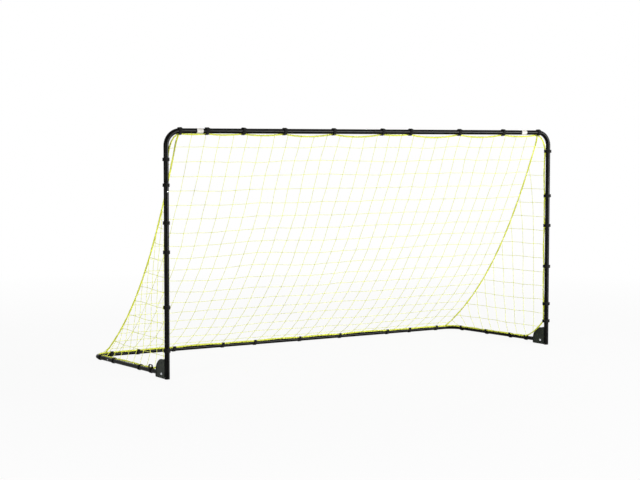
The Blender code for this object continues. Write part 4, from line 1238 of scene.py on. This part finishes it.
for side, sign in SIDES:
    seam, bottom_rope = seam_paths[side], side_paths[side]
    lowest, first = post_paths[side][0], bottom_rope[0]
    chord = first - lowest
    bow = Vector((0, chord.z, -chord.y)).normalized() * CUT_SLACK - Vector((sign * CUT_INWARD, 0, 0))
    cut = [lowest + chord * t + bow * (4 * t * (1 - t)) for t in even(1, 24)]
    front_edge = corner_paths[side][::-1] + post_paths[side][::-1][1:] + cut[1:]
    bottom_edge = cut + bottom_rope[1:]

    def side_knot(y, z):
        """Point of the side net at a distance back and a height."""
        def spread(height):
            front, back = crossing(front_edge, 2, height), crossing(seam, 2, height)
            share = (y - front.y) / max(back.y - front.y, 0.02)
            return front.x + (back.x - front.x) * min(1, max(0, share))

        base, top = crossing(bottom_edge, 1, y), crossing(seam, 1, y)
        share = max(0, 1 - (z - base.z) / max(0.02, min(FLARE, top.z - base.z))) ** 2
        point = Vector((spread(z) + (base.x - spread(base.z)) * min(1, share), y, z))
        room = max(0, min(1, *(gap / SETTLED_EDGE for gap in (z - base.z, top.z - z, y - fold_start))))
        return point + unsettled(point, UNEVEN * room, BILLOW * room, 9 * sign)

    def inside(y, z):
        low, high = crossing(bottom_edge, 1, y).z + EDGE_CLEARANCE, crossing(seam, 1, y).z - EDGE_CLEARANCE
        return low < z < high and y > crossing(front_edge, 2, z).y + EDGE_CLEARANCE

    def back_share(y):
        """Share of the way from where the fold starts to where it ends, at a distance back."""
        return (y - fold_start) / (fold_end - fold_start)

    heights = [net_top.z - FIRST_ROW - SIDE_MESH * j for j in range(SIDE_ROWS)]
    heights = [z for z in heights if z > ground_z + SHORTEST]
    depths = [fold_start + SIDE_MESH * k for k in range(1, SIDE_UPRIGHTS + 1)]
    upper, upper_ties, lower = [], [], []

    # An upright is cut at the height where the fold begins: its part above joins the upper piece, and its
    # part below is a piece of its own.
    for k, y in enumerate(depths, 1):
        top, base = crossing(seam, 1, y), crossing(bottom_edge, 1, beside_straps(side, y))
        levels = [z for z in heights if inside(y, z)]
        low = [side_knot(y, z) for z in levels if z <= FOLD_BELOW] + [base]
        if top.z > FOLD_BELOW:
            joint = side_knot(y, FOLD_BELOW)
            upper.append(strung([top] + [side_knot(y, z) for z in levels if z > FOLD_BELOW] + [joint], k))
            low = [joint] + low
        else:
            low = [top] + low
        if top.z - base.z < SHORTEST:
            continue
        along, start_z = min(1, back_share(y)), min(FOLD_BELOW, top.z)
        start = (0, 0, start_z + (start_z - ground_z) * along / (1 - along))
        ties = [(whipping, base, (0, 1, 0), (0, 0, 1))]
        lower.append((f"{side}_side_net_upright_{k}", side, [strung(low, k)], ties, start, (0, 0, ground_z)))

    # A row above the fold joins the upper piece, and a low row is a piece of its own.
    for j, z in enumerate(heights, 1):
        front, back = crossing(front_edge, 2, z), crossing(seam, 2, z)
        inner = [side_knot(y, z) for y in depths if inside(y, z)]
        path = strung([front, *inner, back], 20 + j)
        slope = Vector((0, 0.2, 1)) if z > lowest.z else chord
        ties = [(knot, point, (1, 0, 0), (0, 0.1, 1)) for point in inner]
        ties += [(whipping, front, slope, (1, 0, 0)), (whipping, back, (0, 0.6, -1), (1, 0, 0))]
        if z > FOLD_BELOW:
            upper.append(path)
            upper_ties += ties
            continue
        share = (FOLD_BELOW - z) / (FOLD_BELOW - ground_z)
        at_front, at_back = share + (1 - share) * back_share(front.y), back_share(back.y)
        run = (back.y - front.y) / (at_back - at_front)
        start_y = front.y - at_front * run
        lower.append((f"{side}_side_net_row_{j}", side, [path], ties, (0, start_y, 0), (0, start_y + run, 0)))
    add_cords(f"{side}_side_net_upper", side, upper, upper_ties)
    for cord in lower:
        add_cords(*cord)

    # The edge rope runs from the post's lowest strap to the side tube, bowed inwards past the hinge plate.
    middle = cut[12]
    share = (FOLD_BELOW - middle.z) / (FOLD_BELOW - ground_z)
    wanted = share + (1 - share) * back_share(middle.y)
    ay, az = middle.y - lowest.y, middle.z - FOLD_BELOW
    by, bz = first.y - lowest.y, ground_z - FOLD_BELOW
    slope = Vector((0, wanted * bz - az, ay - wanted * by)) / (ay * bz - az * by)
    start = Vector((0, lowest.y, FOLD_BELOW))
    for piece in add_hem(f"{side}_net_cut_edge", cut, None, f"{side}_side_net"):
        follow_fold(piece)
bpy.data.objects.remove(section)

# Floor, light and camera: a white studio sweep with broad soft lamps, seen from the photograph's place. The
# lamp named shine lights nothing matt: it shows only as the pale stripe down each round tube.

CAMERA_PLACE = (-6.8734, -10.6297, 1.7367)
CAMERA_TURN = (-32.607, 3.678, 0.058)
CAMERA_LENS = 86.48
CAMERA_SENSOR = 36
FLOOR_SIZE = 60
FLOOR_GLOW = 0.92
GLOW_FROM, GLOW_TO = 3.0, 8.0
WORLD_LIGHT = 0.15
LAMP_TARGET = Vector((0, 0, 0.8))
LAMPS = (
    ("key", (6.0, -9.0, 1.6), (5.5, 1.6), 900.0, True),
    ("shine", (6.0, -9.0, 2.0), (7.0, 4.0), 4500.0, False),
    ("left", (-16.0, -9.0, 2.2), (1.5, 3.5), 1500.0, True),
    ("top", (1.5, -2.5, 6.5), (4.5, 4.5), 110.0, True),
    ("rear", (0.0, 6.0, 4.5), (4.0, 4.0), 80.0, True),
)


def white_for_the_eye(tree, lit, output, surface, kind):
    """Mixes pure white into what is lit, as far as the camera and clear reflections see it."""
    rays = add_node(tree, "ShaderNodeLightPath", {}).outputs
    eye, glossy, clear = rays["Is Camera Ray"], rays["Is Glossy Ray"], rays["Is Transmission Ray"]
    for operation, other in (("MAXIMUM", glossy), ("MAXIMUM", clear), ("MULTIPLY", surface)):
        eye = add_node(tree, "ShaderNodeMath", {0: eye, 1: other}, operation=operation).outputs[0]
    white = add_node(tree, kind, {"Color": linear("ffffff"), "Strength": 1.0})
    mix = add_node(tree, "ShaderNodeMixShader", {0: eye, 1: lit.outputs[0], 2: white.outputs[0]})
    add_node(tree, output, {"Surface": mix.outputs[0]})


# Matt, nearly white paper that glows a little less close to the goal, so that the ground shows faintly.
sweep, tree, shader = new_finish("white_studio_sweep")
add_node(tree, shader, {"Base Color": linear("f6f6f6"), "Roughness": 0.9, "Specular IOR Level": 0.1})
spot = add_node(tree, "ShaderNodeTexCoord", {}).outputs["Object"]
away = add_node(tree, "ShaderNodeVectorMath", {0: spot}, operation="LENGTH").outputs["Value"]
ring = {"Value": away, 1: GLOW_FROM, 2: GLOW_TO, 3: FLOOR_GLOW, 4: 1.0}
glow = add_node(tree, "ShaderNodeMapRange", ring).outputs[0]
white_for_the_eye(tree, shader, tree.nodes["Material Output"], glow, "ShaderNodeEmission")
bm = bmesh.new()
bmesh.ops.create_grid(bm, x_segments=1, y_segments=1, size=FLOOR_SIZE)
floor = put("studio_floor", as_mesh(bm))
floor.data.materials.append(sweep)
world = bpy.data.worlds.new("studio")
world.use_nodes = True
tree = world.node_tree
sky = add_node(tree, tree.nodes["Background"], {"Color": linear("ffffff"), "Strength": WORLD_LIGHT})
white_for_the_eye(tree, sky, tree.nodes["World Output"], 1.0, "ShaderNodeBackground")
bpy.context.scene.world = world
for name, place, size, power, lights_matt in LAMPS:
    lamp = put(name, bpy.data.lights.new(name, "AREA"))
    lamp.data.shape, lamp.data.size, lamp.data.size_y, lamp.data.energy = "RECTANGLE", *size, power
    aim = (Vector(place) - LAMP_TARGET).to_track_quat("Z", "Y")
    lamp.matrix_world = Matrix.Translation(place) @ aim.to_matrix().to_4x4()
    lamp.visible_diffuse = lights_matt
turn, lift, roll = (math.radians(angle) for angle in CAMERA_TURN)
back = Vector((math.sin(turn) * math.cos(lift), -math.cos(turn) * math.cos(lift), math.sin(lift)))
right = (-back).cross(Vector((0, 0, 1))).normalized()
level = right.cross(-back)
camera = put("camera", bpy.data.cameras.new("camera"))
camera.data.lens, camera.data.sensor_fit, camera.data.sensor_width = CAMERA_LENS, "HORIZONTAL", CAMERA_SENSOR
camera.matrix_world = stand(CAMERA_PLACE, back, right * math.cos(roll) + level * math.sin(roll))
bpy.context.scene.camera = camera
bpy.context.scene.view_settings.view_transform = "Standard"
